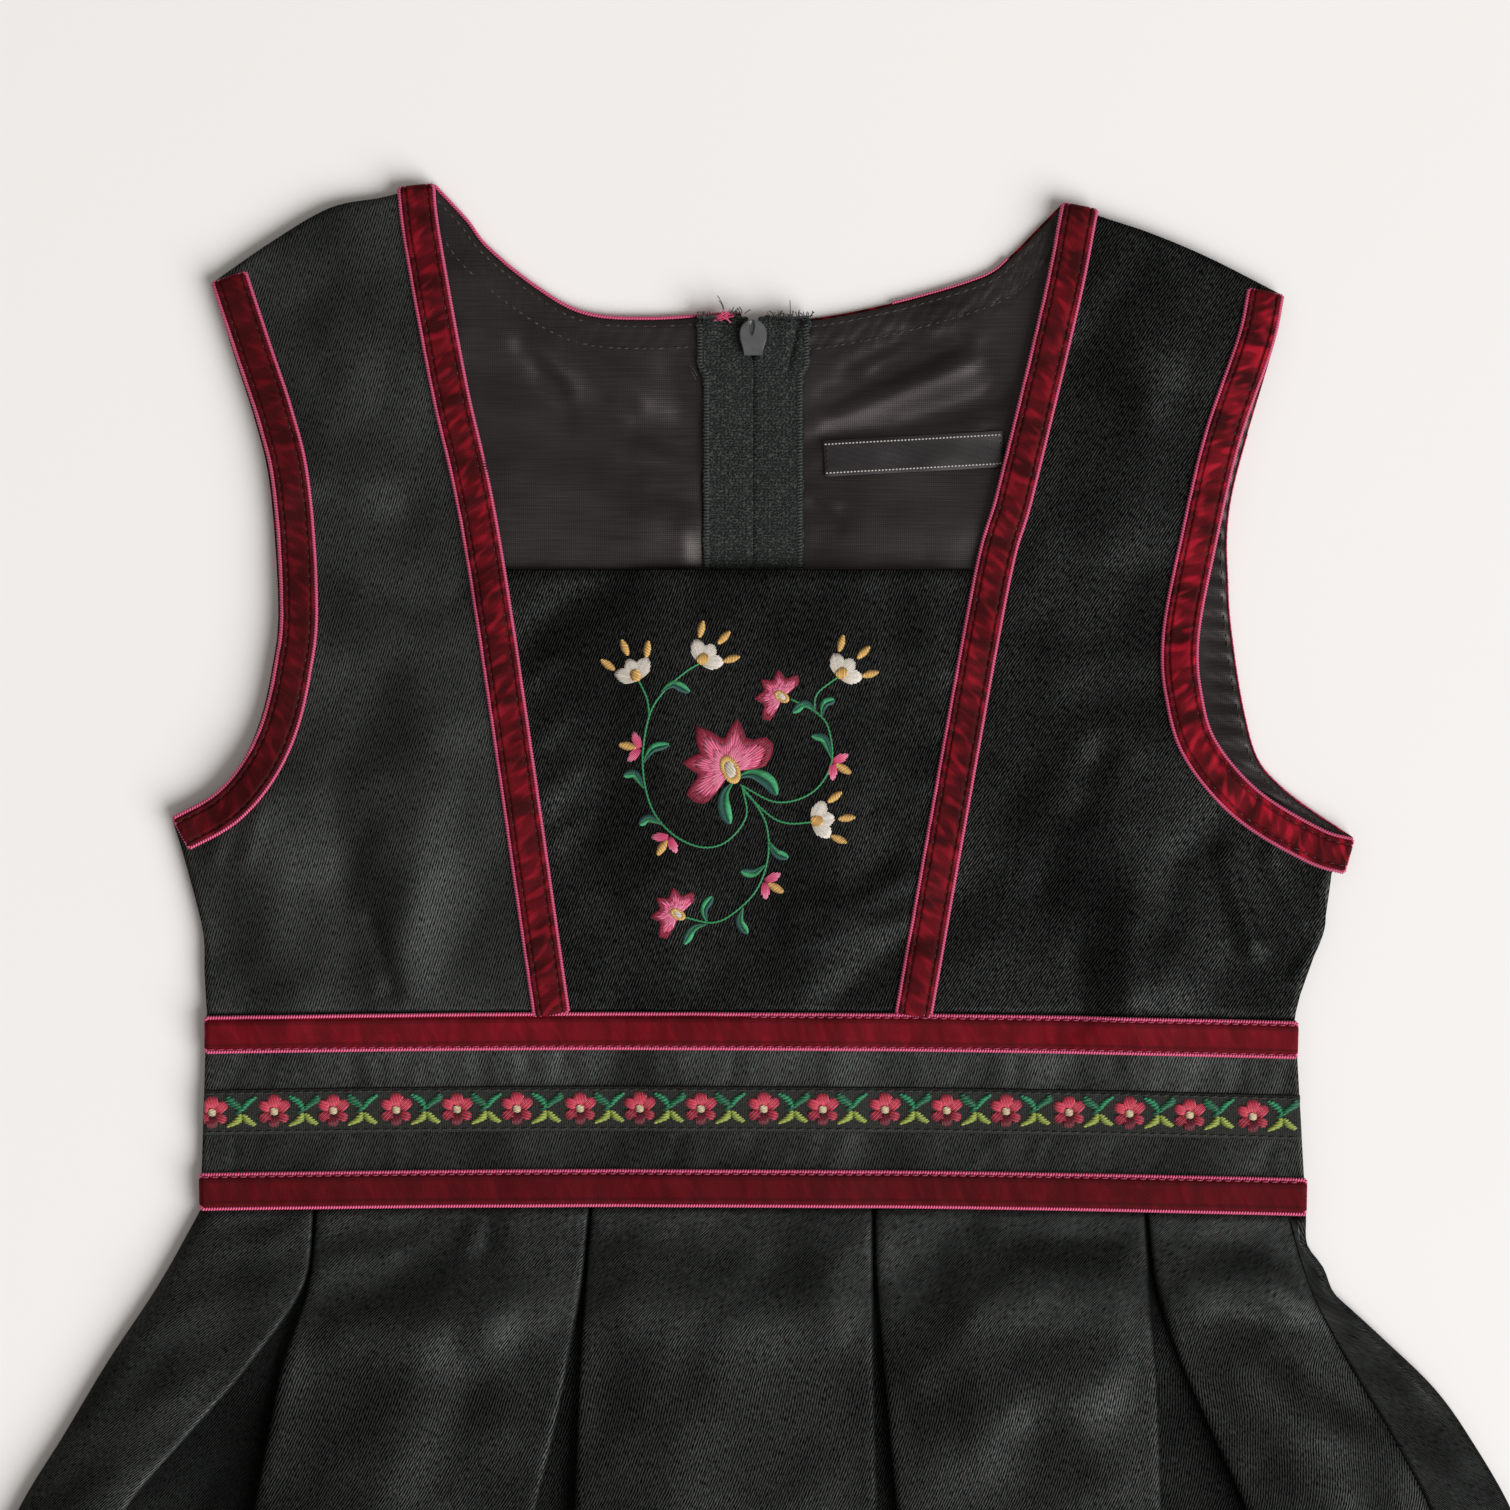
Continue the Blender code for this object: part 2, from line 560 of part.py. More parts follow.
def pleated_section(depth):
    """Across the front of the skirt: panels on top, returns under their folds, and the backing."""
    space = LAYER * (1 + SKIRT_LOFT * ease(depth / SKIRT_LOFT_DEPTH))
    base = LAYER + ON_FLOOR
    middle, top = base + space, base + 2 * space
    turn = space / 2
    left, across = at_depth(LEFT_EDGE, depth), opened(EDGE_ROUND, depth)
    section = [(left + across * (1 - math.cos(a)), base + (middle + LAYER - base) * math.sin(a))
               for a in (0, math.pi / 8, math.pi / 4, 3 * math.pi / 8, math.pi / 2)]
    start = left + across
    for pleat in PLEATS:
        fold_left = at_depth(pleat["left"], depth)
        fold_right = at_depth(pleat["right"], depth)
        deep = pleat["deep"] - (fold_right - fold_left) / 4
        section += panel_between(start, fold_left - turn, space, depth)
        section += [(fold_left - turn, top), (fold_left, top - turn), (fold_left - turn, middle)]
        hidden = fold_left - deep
        section += [(hidden + turn, middle), (hidden, middle - turn), (hidden + turn, base)]
        hidden = fold_right + deep
        section += [(hidden - turn, base), (hidden, middle - turn), (hidden - turn, middle)]
        section += [(fold_right + turn, middle), (fold_right, top - turn), (fold_right + turn, top)]
        start = fold_right + turn
    seam = at_depth(SIDE_SEAM, depth) - SEAM / 2
    section += panel_between(start, seam, space, depth)
    section.append((seam, 2 * LAYER + ON_FLOOR))
    return section


def panel_between(start, end, space, depth):
    """Points along a panel of the skirt, with its soft folds, clear of the returns below it."""
    points = []
    for k in range(1, 6):
        x = start + (end - start) * k / 6
        smooth = panel_height(x, space, depth)
        smooth += PANEL_RISE * math.sin(math.pi * k / 6) * ease(depth / 120)
        lowest = min(smooth, LAYER + ON_FLOOR + space + LAYER)
        lift = folds(*skirt_place(x, depth)) * ease(depth / 40)
        points.append((x, max(smooth + lift, lowest)))
    return points


def panel_height(x, space, depth):
    """Middle height of the top layer, which comes down towards both sides of the skirt."""
    top = LAYER + ON_FLOOR + 2 * space
    left = at_depth(LEFT_EDGE, depth) + opened(EDGE_ROUND, depth)
    seam = at_depth(SIDE_SEAM, depth)
    height = top - (space - LAYER) * (1 - ease((x - left) / SEAM_RUN[1]))
    return height - (top - 2 * LAYER - ON_FLOOR) * (1 - ease((seam - x) / opened(SEAM_RUN, depth)))


def skirt_front():
    """The front of the skirt, one length of cloth with four inverted box pleats."""
    rows = [lifted_row(pleated_section(depth), depth) for depth in reversed(SKIRT_ROWS)]
    return wall("skirt_front", rows, satin())


def skirt_back_left():
    """The left half of the back of the skirt, flat on the surface."""
    rows = []
    for depth in reversed(SKIRT_ROWS):
        left, end = at_depth(LEFT_EDGE, depth), ZIP_X - SEAM / 2
        section = [(left + (end - left) * k / 9, ON_FLOOR) for k in range(10)]
        rows.append(lifted_row(section, depth))
    return wall("skirt_back_left", rows, satin())


def skirt_back_right():
    """The right half of the back, whose edge is folded round to the front as far as the seam."""
    top = 2 * LAYER + ON_FLOOR
    turn = (top - ON_FLOOR) / 2
    depths = [row[0] for row in RIGHT_EDGE]
    across = [row[1] for row in RIGHT_EDGE]
    rows = []
    for depth in reversed(SKIRT_ROWS):
        start = ZIP_X + SEAM / 2
        bend = at_depth(across, depth, depths) - turn - CLOTH / 2
        section = [(start + (bend - start) * k / 9, ON_FLOOR) for k in range(10)]
        section += [(bend + turn * math.sin(a), top / 2 + ON_FLOOR / 2 - turn * math.cos(a))
                    for a in (math.pi / 4, math.pi / 2, 3 * math.pi / 4)]
        seam = at_depth(SIDE_SEAM, depth) + SEAM / 2
        section += [(bend + (seam - bend) * k / 2, top) for k in range(3)]
        rows.append(lifted_row(section, depth))
    return wall("skirt_back_right", rows, satin())


# ---------------------------------------------------------------- closing and label
def zip_tape(side):
    """One tape of the zip. It stands back from the slider's neck at its top."""
    outwards = -1 if side == "left" else 1
    rows = []
    for y in (2.0, 52.0, 90.0, 130.0, 170.0, 200.0, 214.0, 222.0, TAPE_TOP):
        inner = ZIP_X + outwards * (SEAM / 2 if y < 216 else 1.5)
        outer = ZIP_X + outwards * (TAPE_WIDTH + 0.2)
        line = [Vector((inner, y)), Vector(((inner + outer) / 2, y)), Vector((outer, y))]
        rows.append(line if side == "right" else line[::-1])
    return wall("zip_tape_" + side, raised(rows, 2 * LAYER + ON_FLOOR), zip_tape_cloth())


def slider_outline():
    """Round head and flanks that narrow to a straight tail, anticlockwise from the tail's right corner."""
    head = [(SLIDER_HEAD * math.sin(a), 0.9 + SLIDER_HEAD * math.cos(a))
            for a in [math.radians(d) for d in range(90, -91, -20)]]
    left = [(-x, y) for x, y in reversed(SLIDER_FLANK)]
    corners = list(SLIDER_FLANK) + head + left
    return [Vector((ZIP_X + x, SLIDER_Y + y)) for x, y in corners]


def slider():
    """The slider, seen from the inside of the dress, with the neck that carries the pull tab."""
    body = plate("zip_slider", slider_outline(), SLIDER_LOW, SLIDER_HIGH, gunmetal())
    corners = ((-0.9, -2), (0.9, -2), (0.9, 2), (-0.9, 2))
    neck_outline = [Vector((ZIP_X + x, HINGE_Y + y)) for x, y in corners]
    neck = plate("zip_slider_neck", neck_outline, TAB_THICK + SEAM, SLIDER_LOW + 0.6, gunmetal(), 0.1)
    joined = body.modifiers.new("neck", "BOOLEAN")
    joined.operation = "UNION"
    joined.object = neck
    neck.hide_render = True
    neck.display_type = "WIRE"
    return body


def pull_tab():
    """The tab under the back, hinged at its upper end and narrowed towards it."""
    half = TAB_WIDTH / 2
    outline = [Vector((half * math.sin(a), 3.0 - TAB_LENGTH - half * math.cos(a)))
               for a in [math.radians(d) for d in range(-90, 91, 30)]]
    corners = ((TAB_HEAD, -1.2), (TAB_HEAD, 0.45), (-TAB_HEAD, 0.45), (-TAB_HEAD, -1.2))
    outline += [Vector(corner) for corner in corners]
    made = plate("zip_pull", outline, -TAB_THICK / 2, TAB_THICK / 2, gunmetal(), 0.2)
    made.location = (ZIP_X * MM, (WAIST_Y + HINGE_Y) * MM, TAB_THICK / 2 * MM)
    return made


def label():
    """The woven label in the back neck, bare, a little tilted."""
    line = even_line([Vector(LABEL_START), Vector(LABEL_END)], 6)
    return strip("label", line, LABEL_WIDTH, 2 * LAYER + ON_FLOOR, label_cloth())


def remove_everything():
    for old in list(bpy.data.objects):
        bpy.data.objects.remove(old, do_unlink=True)


def main():
    remove_everything()
    for side in ("left", "right"):
        back_panel(side)
        back_lining(side)
        front_panel(side)
        neck_ribbons(side)
        armhole_ribbons(side)
        zip_tape(side)
    bib()
    label()
    slider()
    pull_tab()
    waistband()
    waist_ribbons()
    skirt_front()
    skirt_back_left()
    skirt_back_right()


main()
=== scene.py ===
# %% [markdown]
# # A child's festive dress in bunad style
# The dress lies flat and face up on a pale table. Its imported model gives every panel, ribbon and
# fold of the skirt at its real size. Here each plain wall is dressed as the cloth that it really
# is: satin twill, velvet ribbon, woven ribbon, lining and zip tape, with their creases and sewing.
# All sizes below are in millimetres, with y measured up from the foot of the waistband.

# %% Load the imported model
import json
import math

import bpy
import numpy as np
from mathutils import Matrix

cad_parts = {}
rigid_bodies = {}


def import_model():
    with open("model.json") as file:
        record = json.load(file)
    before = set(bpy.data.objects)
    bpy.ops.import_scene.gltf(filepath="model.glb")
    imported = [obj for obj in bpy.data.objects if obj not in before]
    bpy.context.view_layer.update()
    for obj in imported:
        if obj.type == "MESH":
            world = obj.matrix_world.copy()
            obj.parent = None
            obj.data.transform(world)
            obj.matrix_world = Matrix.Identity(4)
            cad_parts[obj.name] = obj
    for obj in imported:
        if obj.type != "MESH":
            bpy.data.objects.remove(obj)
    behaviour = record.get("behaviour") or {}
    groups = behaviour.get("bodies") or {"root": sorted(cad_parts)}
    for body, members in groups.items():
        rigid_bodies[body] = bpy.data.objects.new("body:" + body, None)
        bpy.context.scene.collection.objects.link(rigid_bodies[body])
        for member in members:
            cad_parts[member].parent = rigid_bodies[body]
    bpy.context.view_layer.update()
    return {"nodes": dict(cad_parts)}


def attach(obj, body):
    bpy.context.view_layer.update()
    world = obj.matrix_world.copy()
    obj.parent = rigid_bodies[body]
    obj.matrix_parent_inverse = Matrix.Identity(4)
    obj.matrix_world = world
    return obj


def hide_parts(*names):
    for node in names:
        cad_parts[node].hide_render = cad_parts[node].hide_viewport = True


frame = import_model()

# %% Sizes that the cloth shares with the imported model
MM = 0.001
CLOTH = 1.1
SEAM = 0.3
LAYER = CLOTH + SEAM
ON_FLOOR = CLOTH / 2
WAIST_Y = 54.5
SKIRT_LENGTH = 380.0
HEM_HALF_WIDTH = 297.0
HEM_RISE = 33.0
BAND_HEIGHT = 51.6
FLOWER_RIBBON_WIDTH = 11.6
LOWER_VELVET_Y = 0.4
FLOWER_RIBBON_Y = 20.2
UPPER_VELVET_Y = 41.8
TRIM_OVERLAP = 2.5
BIB_TOP = 168.5
ZIP_X = -0.5
TAPE_WIDTH = 12.8
TAPE_TOP = 235.4
TAB_SLOT = 3.3
TAB_SLOT_FOOT = 204.0
SATIN = 0.8             # of the front and the waistband, thinner than its share of the wall
LINING = 0.6
print("a wall of cloth is", CLOTH, "mm thick, and the layers lie", round(LAYER, 2), "mm apart")

# %% [markdown]
# ## Lines of the cut
# A dressmaker knows a garment by its seams and edges. Each is a short list of points that a smooth
# curve runs through: side seam, armhole, shoulder and neck, left and right as they lie.

# %% Edges of the bodice
SIDE = {
    "left": ((-144.6, 51.9), (-145.2, 62.0), (-145.6, 73.0), (-149.3, 88.0), (-153.7, 103.4)),
    "right": ((142.4, 51.9), (145.8, 62.8), (150.3, 74.0), (151.0, 86.0), (157.9, 97.8))}
ARMHOLE = {
    "left": ((-153.7, 103.4), (-142.8, 109.4), (-135.4, 117.7), (-130.1, 128.8), (-126.9, 142.3),
             (-125.1, 158.5), (-127.2, 190.3), (-131.2, 207.8), (-137.3, 226.0), (-143.4, 244.3)),
    "right": ((157.9, 97.8), (149.5, 100.4), (133.3, 110.2), (121.9, 123.2), (118.0, 135.5),
              (117.1, 150.0), (121.1, 172.5), (127.7, 201.4), (136.7, 227.6), (139.6, 240.9))}
SHOULDER = {
    "left": ((-143.4, 244.3), (-127.2, 255.5), (-112.1, 264.2), (-98.0, 267.0), (-84.8, 270.4)),
    "right": ((139.6, 240.9), (119.8, 251.0), (104.1, 257.6), (91.4, 261.8), (81.1, 265.4))}
NECK = {
    "left": ((-49.0, 52.2), (-66.5, 172.0), (-76.1, 218.1), (-83.2, 257.0), (-84.8, 270.4)),
    "right": ((37.1, 52.2), (56.7, 161.4), (64.1, 190.5), (76.1, 240.4), (81.1, 265.4))}
BACK_NECK = {
    "left": ((-84.8, 270.4), (-76.3, 261.3), (-71.0, 254.4), (-58.8, 244.3), (-45.3, 236.8),
             (-27.8, 235.3), (-4.2, 236.9)),
    "right": ((81.1, 265.4), (74.7, 258.9), (67.3, 251.5), (59.6, 246.2), (37.4, 239.6),
              (15.1, 235.3), (3.4, 236.2))}
BACK_ARMHOLE = {
    "left": ((-154.0, 102.8), (-143.8, 108.6), (-136.4, 116.9), (-131.1, 128.4), (-127.9, 142.1),
             (-126.1, 158.5), (-128.3, 190.6), (-132.2, 208.1), (-138.0, 226.2), (-143.4, 244.3)),
    "right": ((157.9, 98.2), (147.6, 104.9), (138.9, 111.6), (132.8, 119.0), (129.3, 131.2),
              (126.7, 146.8), (125.1, 163.8), (125.9, 188.0), (137.0, 227.6), (139.6, 240.9))}


print("points along the armholes:", len(ARMHOLE["left"]), "and", len(ARMHOLE["right"]))

# %% Lines of the skirt, as far across at each depth below the waist
DEPTHS = (0, 20, 40, 60, 80, 200, 380)
LEFT_EDGE = (-146.4, -157.6, -170.5, -182.2, -194.2, -252.0, -297.0)
SIDE_SEAM = (141.0, 146.8, 156.6, 168.0, 178.3, 224.0, 252.0)
PLEATS = (
    dict(deep=24.0, left=(-116.9, -119.5, -132.6, -149.8, -166.0, -228.0, -268.0),
         right=(-115.5, -117.6, -124.2, -128.2, -132.0, -156.0, -184.0)),
    dict(deep=27.0, left=(-44.2, -46.1, -49.4, -53.4, -58.0, -84.0, -112.0),
         right=(-42.8, -44.5, -45.9, -46.7, -47.4, -51.0, -56.0)),
    dict(deep=27.0, left=(30.6, 30.8, 31.1, 31.6, 32.3, 35.0, 39.0),
         right=(32.0, 32.5, 34.0, 35.8, 37.6, 47.0, 61.0)),
    dict(deep=26.0, left=(102.6, 103.9, 105.6, 106.5, 107.3, 115.0, 130.0),
         right=(104.0, 106.3, 112.6, 121.2, 129.9, 171.0, 204.0)),
)
RIGHT_EDGE = (
    (0, 145.8), (8, 146.2), (14, 150.4), (21, 153.2), (26, 158.2), (32, 164.4), (48, 179.9),
    (64, 190.8), (80, 199.8), (200, 254.0), (380, 297.0))
PANEL_RISE = 0.5
EDGE_ROUND = (3.4, 6.4)
SEAM_RUN = (9.0, 22.0)
OPEN_DEPTH = 60.0
SKIRT_LOFT = 1.7
SKIRT_LOFT_DEPTH = 110.0
print("pleats:", len(PLEATS), "from a skirt", SKIRT_LENGTH, "mm long")

# %% [markdown]
# ## Curves and patches
# A panel of cloth is a patch: a grid of points that fills the space between four edges. The edges
# are smooth lines through the points above, cut into even steps, so the weave stays even too.

# %% Curve tools
def ease(t):
    """0 below 0, 1 above 1, and a soft S between."""
    t = np.clip(t, 0.0, 1.0)
    return t * t * (3 - 2 * t)


def run_lengths(points):
    """Distance along a line at each of its points."""
    steps = np.linalg.norm(np.diff(points, axis=0), axis=1)
    return np.concatenate([[0.0], np.cumsum(steps)])


def even_line(points, count):
    """count + 1 points, evenly spaced along a line."""
    points = np.asarray(points, float)
    at = run_lengths(points)
    want = np.linspace(0, at[-1], count + 1)
    return np.column_stack([np.interp(want, at, column) for column in points.T])


def smooth_line(points, count):
    """count + 1 points, evenly spaced along a smooth curve through the given ones."""
    given = np.array(points, float)
    padded = np.vstack([2 * given[0] - given[1], given, 2 * given[-1] - given[-2]])
    t = np.linspace(0, 1, 13)[1:, None]
    fine = [given[:1]]
    for p0, p1, p2, p3 in zip(padded, padded[1:], padded[2:], padded[3:]):
        fine.append(0.5 * (2 * p1 + (p2 - p0) * t + (2 * p0 - 5 * p1 + 4 * p2 - p3) * t ** 2
                           + (3 * p1 - p0 - 3 * p2 + p3) * t ** 3))
    return even_line(np.vstack(fine), count)


def beside(line, distance):
    """A flat line moved sideways, to its left for a distance above 0."""
    along = np.gradient(line, axis=0)
    along /= np.linalg.norm(along, axis=1)[:, None]
    return line + np.asarray(distance) * np.column_stack([-along[:, 1], along[:, 0]])


def patch(bottom, top, left, right):
    """A grid of points between four edges, its rows from left to right and upwards."""
    v = np.linspace(0, 1, len(left))[:, None, None]
    u = np.linspace(0, 1, len(bottom))[None, :, None]
    corners = ((1 - u) * (1 - v) * bottom[0] + u * (1 - v) * bottom[-1]
               + (1 - u) * v * top[0] + u * v * top[-1])
    return ((1 - v) * bottom[None] + v * top[None]
            + (1 - u) * left[:, None] + u * right[:, None] - corners)


def at_depth(values, depth, depths=DEPTHS):
    """A skirt line's x at a depth, on a smooth curve through its values."""
    k = max(i for i in range(len(depths) - 1) if depths[i] <= depth)

    def slope(i):
        low, high = max(i - 1, 0), min(i + 1, len(depths) - 1)
        return (values[high] - values[low]) / (depths[high] - depths[low])

    span = depths[k + 1] - depths[k]
    t = (depth - depths[k]) / span
    return ((2 * t ** 3 - 3 * t ** 2 + 1) * values[k] + (t ** 3 - 2 * t ** 2 + t) * span * slope(k)
            + (3 * t ** 2 - 2 * t ** 3) * values[k + 1] + (t ** 3 - t ** 2) * span * slope(k + 1))


def waist_dip(x):
    """How far the line of the waist lies above its middle height: it drops towards both ends."""
    return 0.3 - 0.0048 * x - 0.000084 * x * x


def waist_line(start, end, y, count):
    """A straight run across, which follows the dip of the waist."""
    x = np.linspace(start, end, count + 1)
    return np.column_stack([x, y + waist_dip(x)])


print("armhole of the left front:", round(run_lengths(smooth_line(ARMHOLE["left"], 60))[-1]), "mm")

# %% [markdown]
# ## Soft folds
# Cloth that lies on a table keeps a few broad folds and many small ones. They could come from a
# cloth simulation, but then nobody could say where they fall. So each is listed: a line in
# the plane, how wide it is, and how far it rises, or sinks below 0, in millimetres. The front of
# the dress makes most of its folds stronger than that, by the factors named with each table's use.

# %% Folds of the front
FOLDS = (
    ((-129, 108), (-130, 84), (-123, 58), 10, 1.1),
    ((-84, 124), (-89, 98), (-96, 62), 10, 1.2),
    ((-112, 180), (-86, 166), 10, -1.7),
    ((-107, 135), (-84, 122), 10, -0.9),
    ((-112, 226), (-100, 196), 13, 0.8),
    ((-48, 98), (-38, 80), (-17, 60), 9, -1.0),
    ((-14, 76), (4, 70), 8, -0.7),
    ((106, 222), (98, 190), 12, 0.9),
    ((64, 166), (84, 160), (106, 160), 11, -1.9),
    ((66, 138), (84, 134), (102, 138), 9, -0.8),
    ((92, 124), (80, 100), 10, 1.0),
    ((96, 98), (104, 62), 13, 1.5),
    ((126, 97), (144, 76), 10, -0.9),
    ((56, 80), (80, 55), 12, -0.9),
    ((-117, -21), (-89, -23), (-70, -12), 8, -1.3),
    ((-62, -13), (-86, -38), (-100, -78), (-112, -150), 13, 1.3),
    ((-73, -48), (-94, -74), 10, -1.0),
    ((-166, -42), (-128, -26), 8, -0.9),
    ((65, -12), (76, -22), (102, -28), 7, 0.8),
    ((50, -60), (62, -40), (92, -40), 11, 1.3),
    ((110, -17), (141, -21), (160, -33), 7, 1.0),
    ((118, -20), (134, -27), (156, -49), 8, -1.4),
    ((114, -27), (132, -43), (152, -56), 9, 1.2),
    ((-15, -40), (-18, -160), (-20, -300), 20, 0.9),
    ((-200, -140), (-226, -250), (-238, -350), 22, 1.2),
    ((84, -120), (90, -230), (94, -350), 20, 1.0),
    ((190, -130), (212, -240), (226, -350), 20, 1.0),
)

# Small creases of the front of the bodice
FINE_FOLDS = (
    ((-101, 76), (-96, 58), 2.6, -0.7),
    ((-139, 101), (-143, 93), 2.4, 0.5),
    ((-132, 104), (-135, 92), 2.6, 0.5),
    ((-138, 66), (-134, 58), 6.0, -0.5),
    ((-109, 84), (-105, 68), 6.0, -0.4),
    ((-100, 112), (-98, 98), 5.0, 0.4),
    ((-112, 116), (-108, 92), 5.0, -0.4),
    ((-94, 150), (-90, 140), 8.0, 0.5),
    ((-104, 205), (-92, 186), 7.0, -0.5),
    ((-120, 236), (-112, 214), 6.0, -0.5),
    ((-108, 256), (-100, 240), 6.0, 0.4),
    ((-58, 152), (-47, 160), (-36, 166), 6.0, -0.6),
    ((-60, 140), (-54, 145), 3.0, 0.35),
    ((-57, 124), (-51, 130), 3.0, 0.35),
    ((-55, 110), (-48, 116), 3.2, 0.35),
    ((-53, 97), (-46, 102), 3.2, 0.4),
    ((49, 142), (42, 148), 3.0, 0.35),
    ((47, 128), (40, 133), 3.2, 0.35),
    ((44, 112), (37, 118), 3.2, 0.4),
    ((42, 98), (35, 103), 3.2, 0.35),
    ((12, 78.5), (26, 79.5), (38, 87), 4.0, 0.6),
    ((10, 71), (22, 73), (38, 76), 3.5, 0.5),
    ((20, 55), (38, 70), 5.0, -0.6),
    ((-38, 92), (-30, 78), (-20, 66), 4.5, 0.45),
    ((98, 236), (104, 214), 5.0, 0.5),
    ((118, 238), (112, 216), 6.0, -0.5),
    ((96, 240), (84, 226), 5.0, -0.4),
    ((91, 134), (88, 118), 6.0, -0.5),
    ((82, 104), (76, 84), 5.0, -0.5),
    ((129, 98), (132.5, 87), (136.5, 75), (142, 68), 2.6, -1.0),
    ((124.5, 93), (128, 82), (131.5, 70), 3.2, 1.3),
    ((135, 94), (139, 84), (145, 75), 2.6, 1.1),
    ((140, 66), (141, 57), 2.0, -0.6),
    ((143, 62), (147, 70), 2.4, 0.8),
    ((87, 127), (80, 113), 4.6, 0.35),
    ((92, 121), (87, 105), 4.5, -0.6),
    ((84, 50), (86, 66), 4.0, -0.6),
    ((97, 54), (98, 76), 5.0, 0.5),
    ((110, 92), (108, 74), 5.0, -0.5),
    ((92, 66), (98, 56), 5.0, 0.4),
    ((126, 64), (132, 56), 5.0, -0.4),
)

FRONT_RISE = 2.0        # on the bodice the rises of both tables are multiplied by this

# Loft of the bodice
BODICE_LOFT = 1.5
SIDE_LOFT_X = 152.0
SIDE_LOFT_RUN = 45.0
SHOULDER_LOFT_Y = 270.0
SHOULDER_SLOPE = 0.45
SHOULDER_LOFT_RUN = 35.0


def reach(x, y, line):
    """How far each point lies from a line of straight runs."""
    nearest = np.full(np.shape(x), np.inf)
    for (ax, ay), (bx, by) in zip(line, line[1:]):
        run = (bx - ax) ** 2 + (by - ay) ** 2
        share = np.clip(((x - ax) * (bx - ax) + (y - ay) * (by - ay)) / run, 0, 1)
        away = np.hypot(x - ax - share * (bx - ax), y - ay - share * (by - ay))
        nearest = np.minimum(nearest, away)
    return nearest


def folds(x, y, table):
    """Sum of the rises of a table's folds at each point."""
    height = np.zeros(np.shape(x))
    for *line, width, rise in table:
        height += rise * np.exp(-(reach(x, y, line) / width) ** 2)
    return height


class Relief:
    """Heights worked out once on an even grid, and read between its points ever after."""

    def __init__(self, function, low, high, step=1.0):
        self.low, self.step = low, step
        x, y = (np.arange(low[k], high[k] + step, step) for k in (0, 1))
        self.heights = function(*np.meshgrid(x, y))

    def __call__(self, x, y):
        u = np.clip((np.asarray(x) - self.low[0]) / self.step, 0, self.heights.shape[1] - 1.001)
        v = np.clip((np.asarray(y) - self.low[1]) / self.step, 0, self.heights.shape[0] - 1.001)
        i, j = u.astype(int), v.astype(int)
        s, t = u - i, v - j
        h = self.heights
        return ((h[j, i] * (1 - s) + h[j, i + 1] * s) * (1 - t)
                + (h[j + 1, i] * (1 - s) + h[j + 1, i + 1] * s) * t)


def front_relief(x, y):
    return FRONT_RISE * folds(x, y, FOLDS) + FRONT_RISE * folds(x, y, FINE_FOLDS)


front_folds = Relief(front_relief, (-166, -8), (166, 276))


def front_height(x, y):
    """Middle height of the front: it lies on the lining, rises over the zip and has soft folds."""
    shoulder = SHOULDER_LOFT_Y - SHOULDER_SLOPE * np.maximum(np.abs(x) - 85, 0)
    loft = (BODICE_LOFT * ease((SIDE_LOFT_X - np.abs(x)) / SIDE_LOFT_RUN)
            * ease((shoulder - y) / SHOULDER_LOFT_RUN))
    above = loft + front_folds(x, y)
    over_zip = LAYER * ease(2 - np.abs(x - ZIP_X) / 19)
    return 2 * LAYER + ON_FLOOR + over_zip + np.log1p(np.exp(5 * above)) / 5


def raised(grid, height):
    """A flat grid of points lifted to a height, or to a function of its place."""
    if callable(height):
        height = height(grid[..., 0], grid[..., 1])
    return np.dstack([grid, np.broadcast_to(height, grid.shape[:2])])


def lifted(line, height, rise=0.0):
    """A flat line of points lifted to a height, or to a function of its place, and by a rise."""
    if callable(height):
        height = height(line[:, 0], line[:, 1])
    return np.column_stack([line, np.broadcast_to(height + rise, len(line))])


print("folds placed by hand on bodice and skirt:", len(FOLDS), "and creases:", len(FINE_FOLDS))

# %% [markdown]
# ## Shader maths as plain expressions
# A finish such as twill is a sum of a few waves and some noise. Wired by hand in the node editor
# that is hard to read, so a small class wraps a node's output and lets + - * / build the nodes.

# %% A wire, and a finish that is being made
def dye(code):
    """A colour from a dyer's card, six hex digits, as the light values that shaders use."""
    parts = [int(code[k:k + 2], 16) / 255 for k in (0, 2, 4)]
    return tuple(p / 12.92 if p <= 0.04045 else ((p + 0.055) / 1.055) ** 2.4 for p in parts)


class Wire:
    """An output of a node. Arithmetic on it adds Math nodes to the same finish."""

    def __init__(self, finish, socket):
        self.finish = finish
        self.socket = socket

    def maths(self, operation, *values):
        return self.finish.node("Math", {"operation": operation}, dict(enumerate(values)))

    def __add__(self, other):
        return self.maths("ADD", self, other)

    def __sub__(self, other):
        return self.maths("SUBTRACT", self, other)

    def __rsub__(self, other):
        return self.maths("SUBTRACT", other, self)

    def __mul__(self, other):
        return self.maths("MULTIPLY", self, other)

    def __truediv__(self, other):
        return self.maths("DIVIDE", self, other)

    def __abs__(self):
        return self.maths("ABSOLUTE", self)

    __radd__ = __add__
    __rmul__ = __mul__

    def wave(self, length):
        """0 to 1 and back, once in each length."""
        return self.maths("SINE", self * (2 * math.pi / length)) * 0.5 + 0.5

    def between(self, low, high):
        """0 below the first value, 1 above the second, and a soft S between."""
        return self.finish.node("MapRange", {"interpolation_type": "SMOOTHSTEP"},
                                {0: self, 1: low, 2: high, 3: 0.0, 4: 1.0})


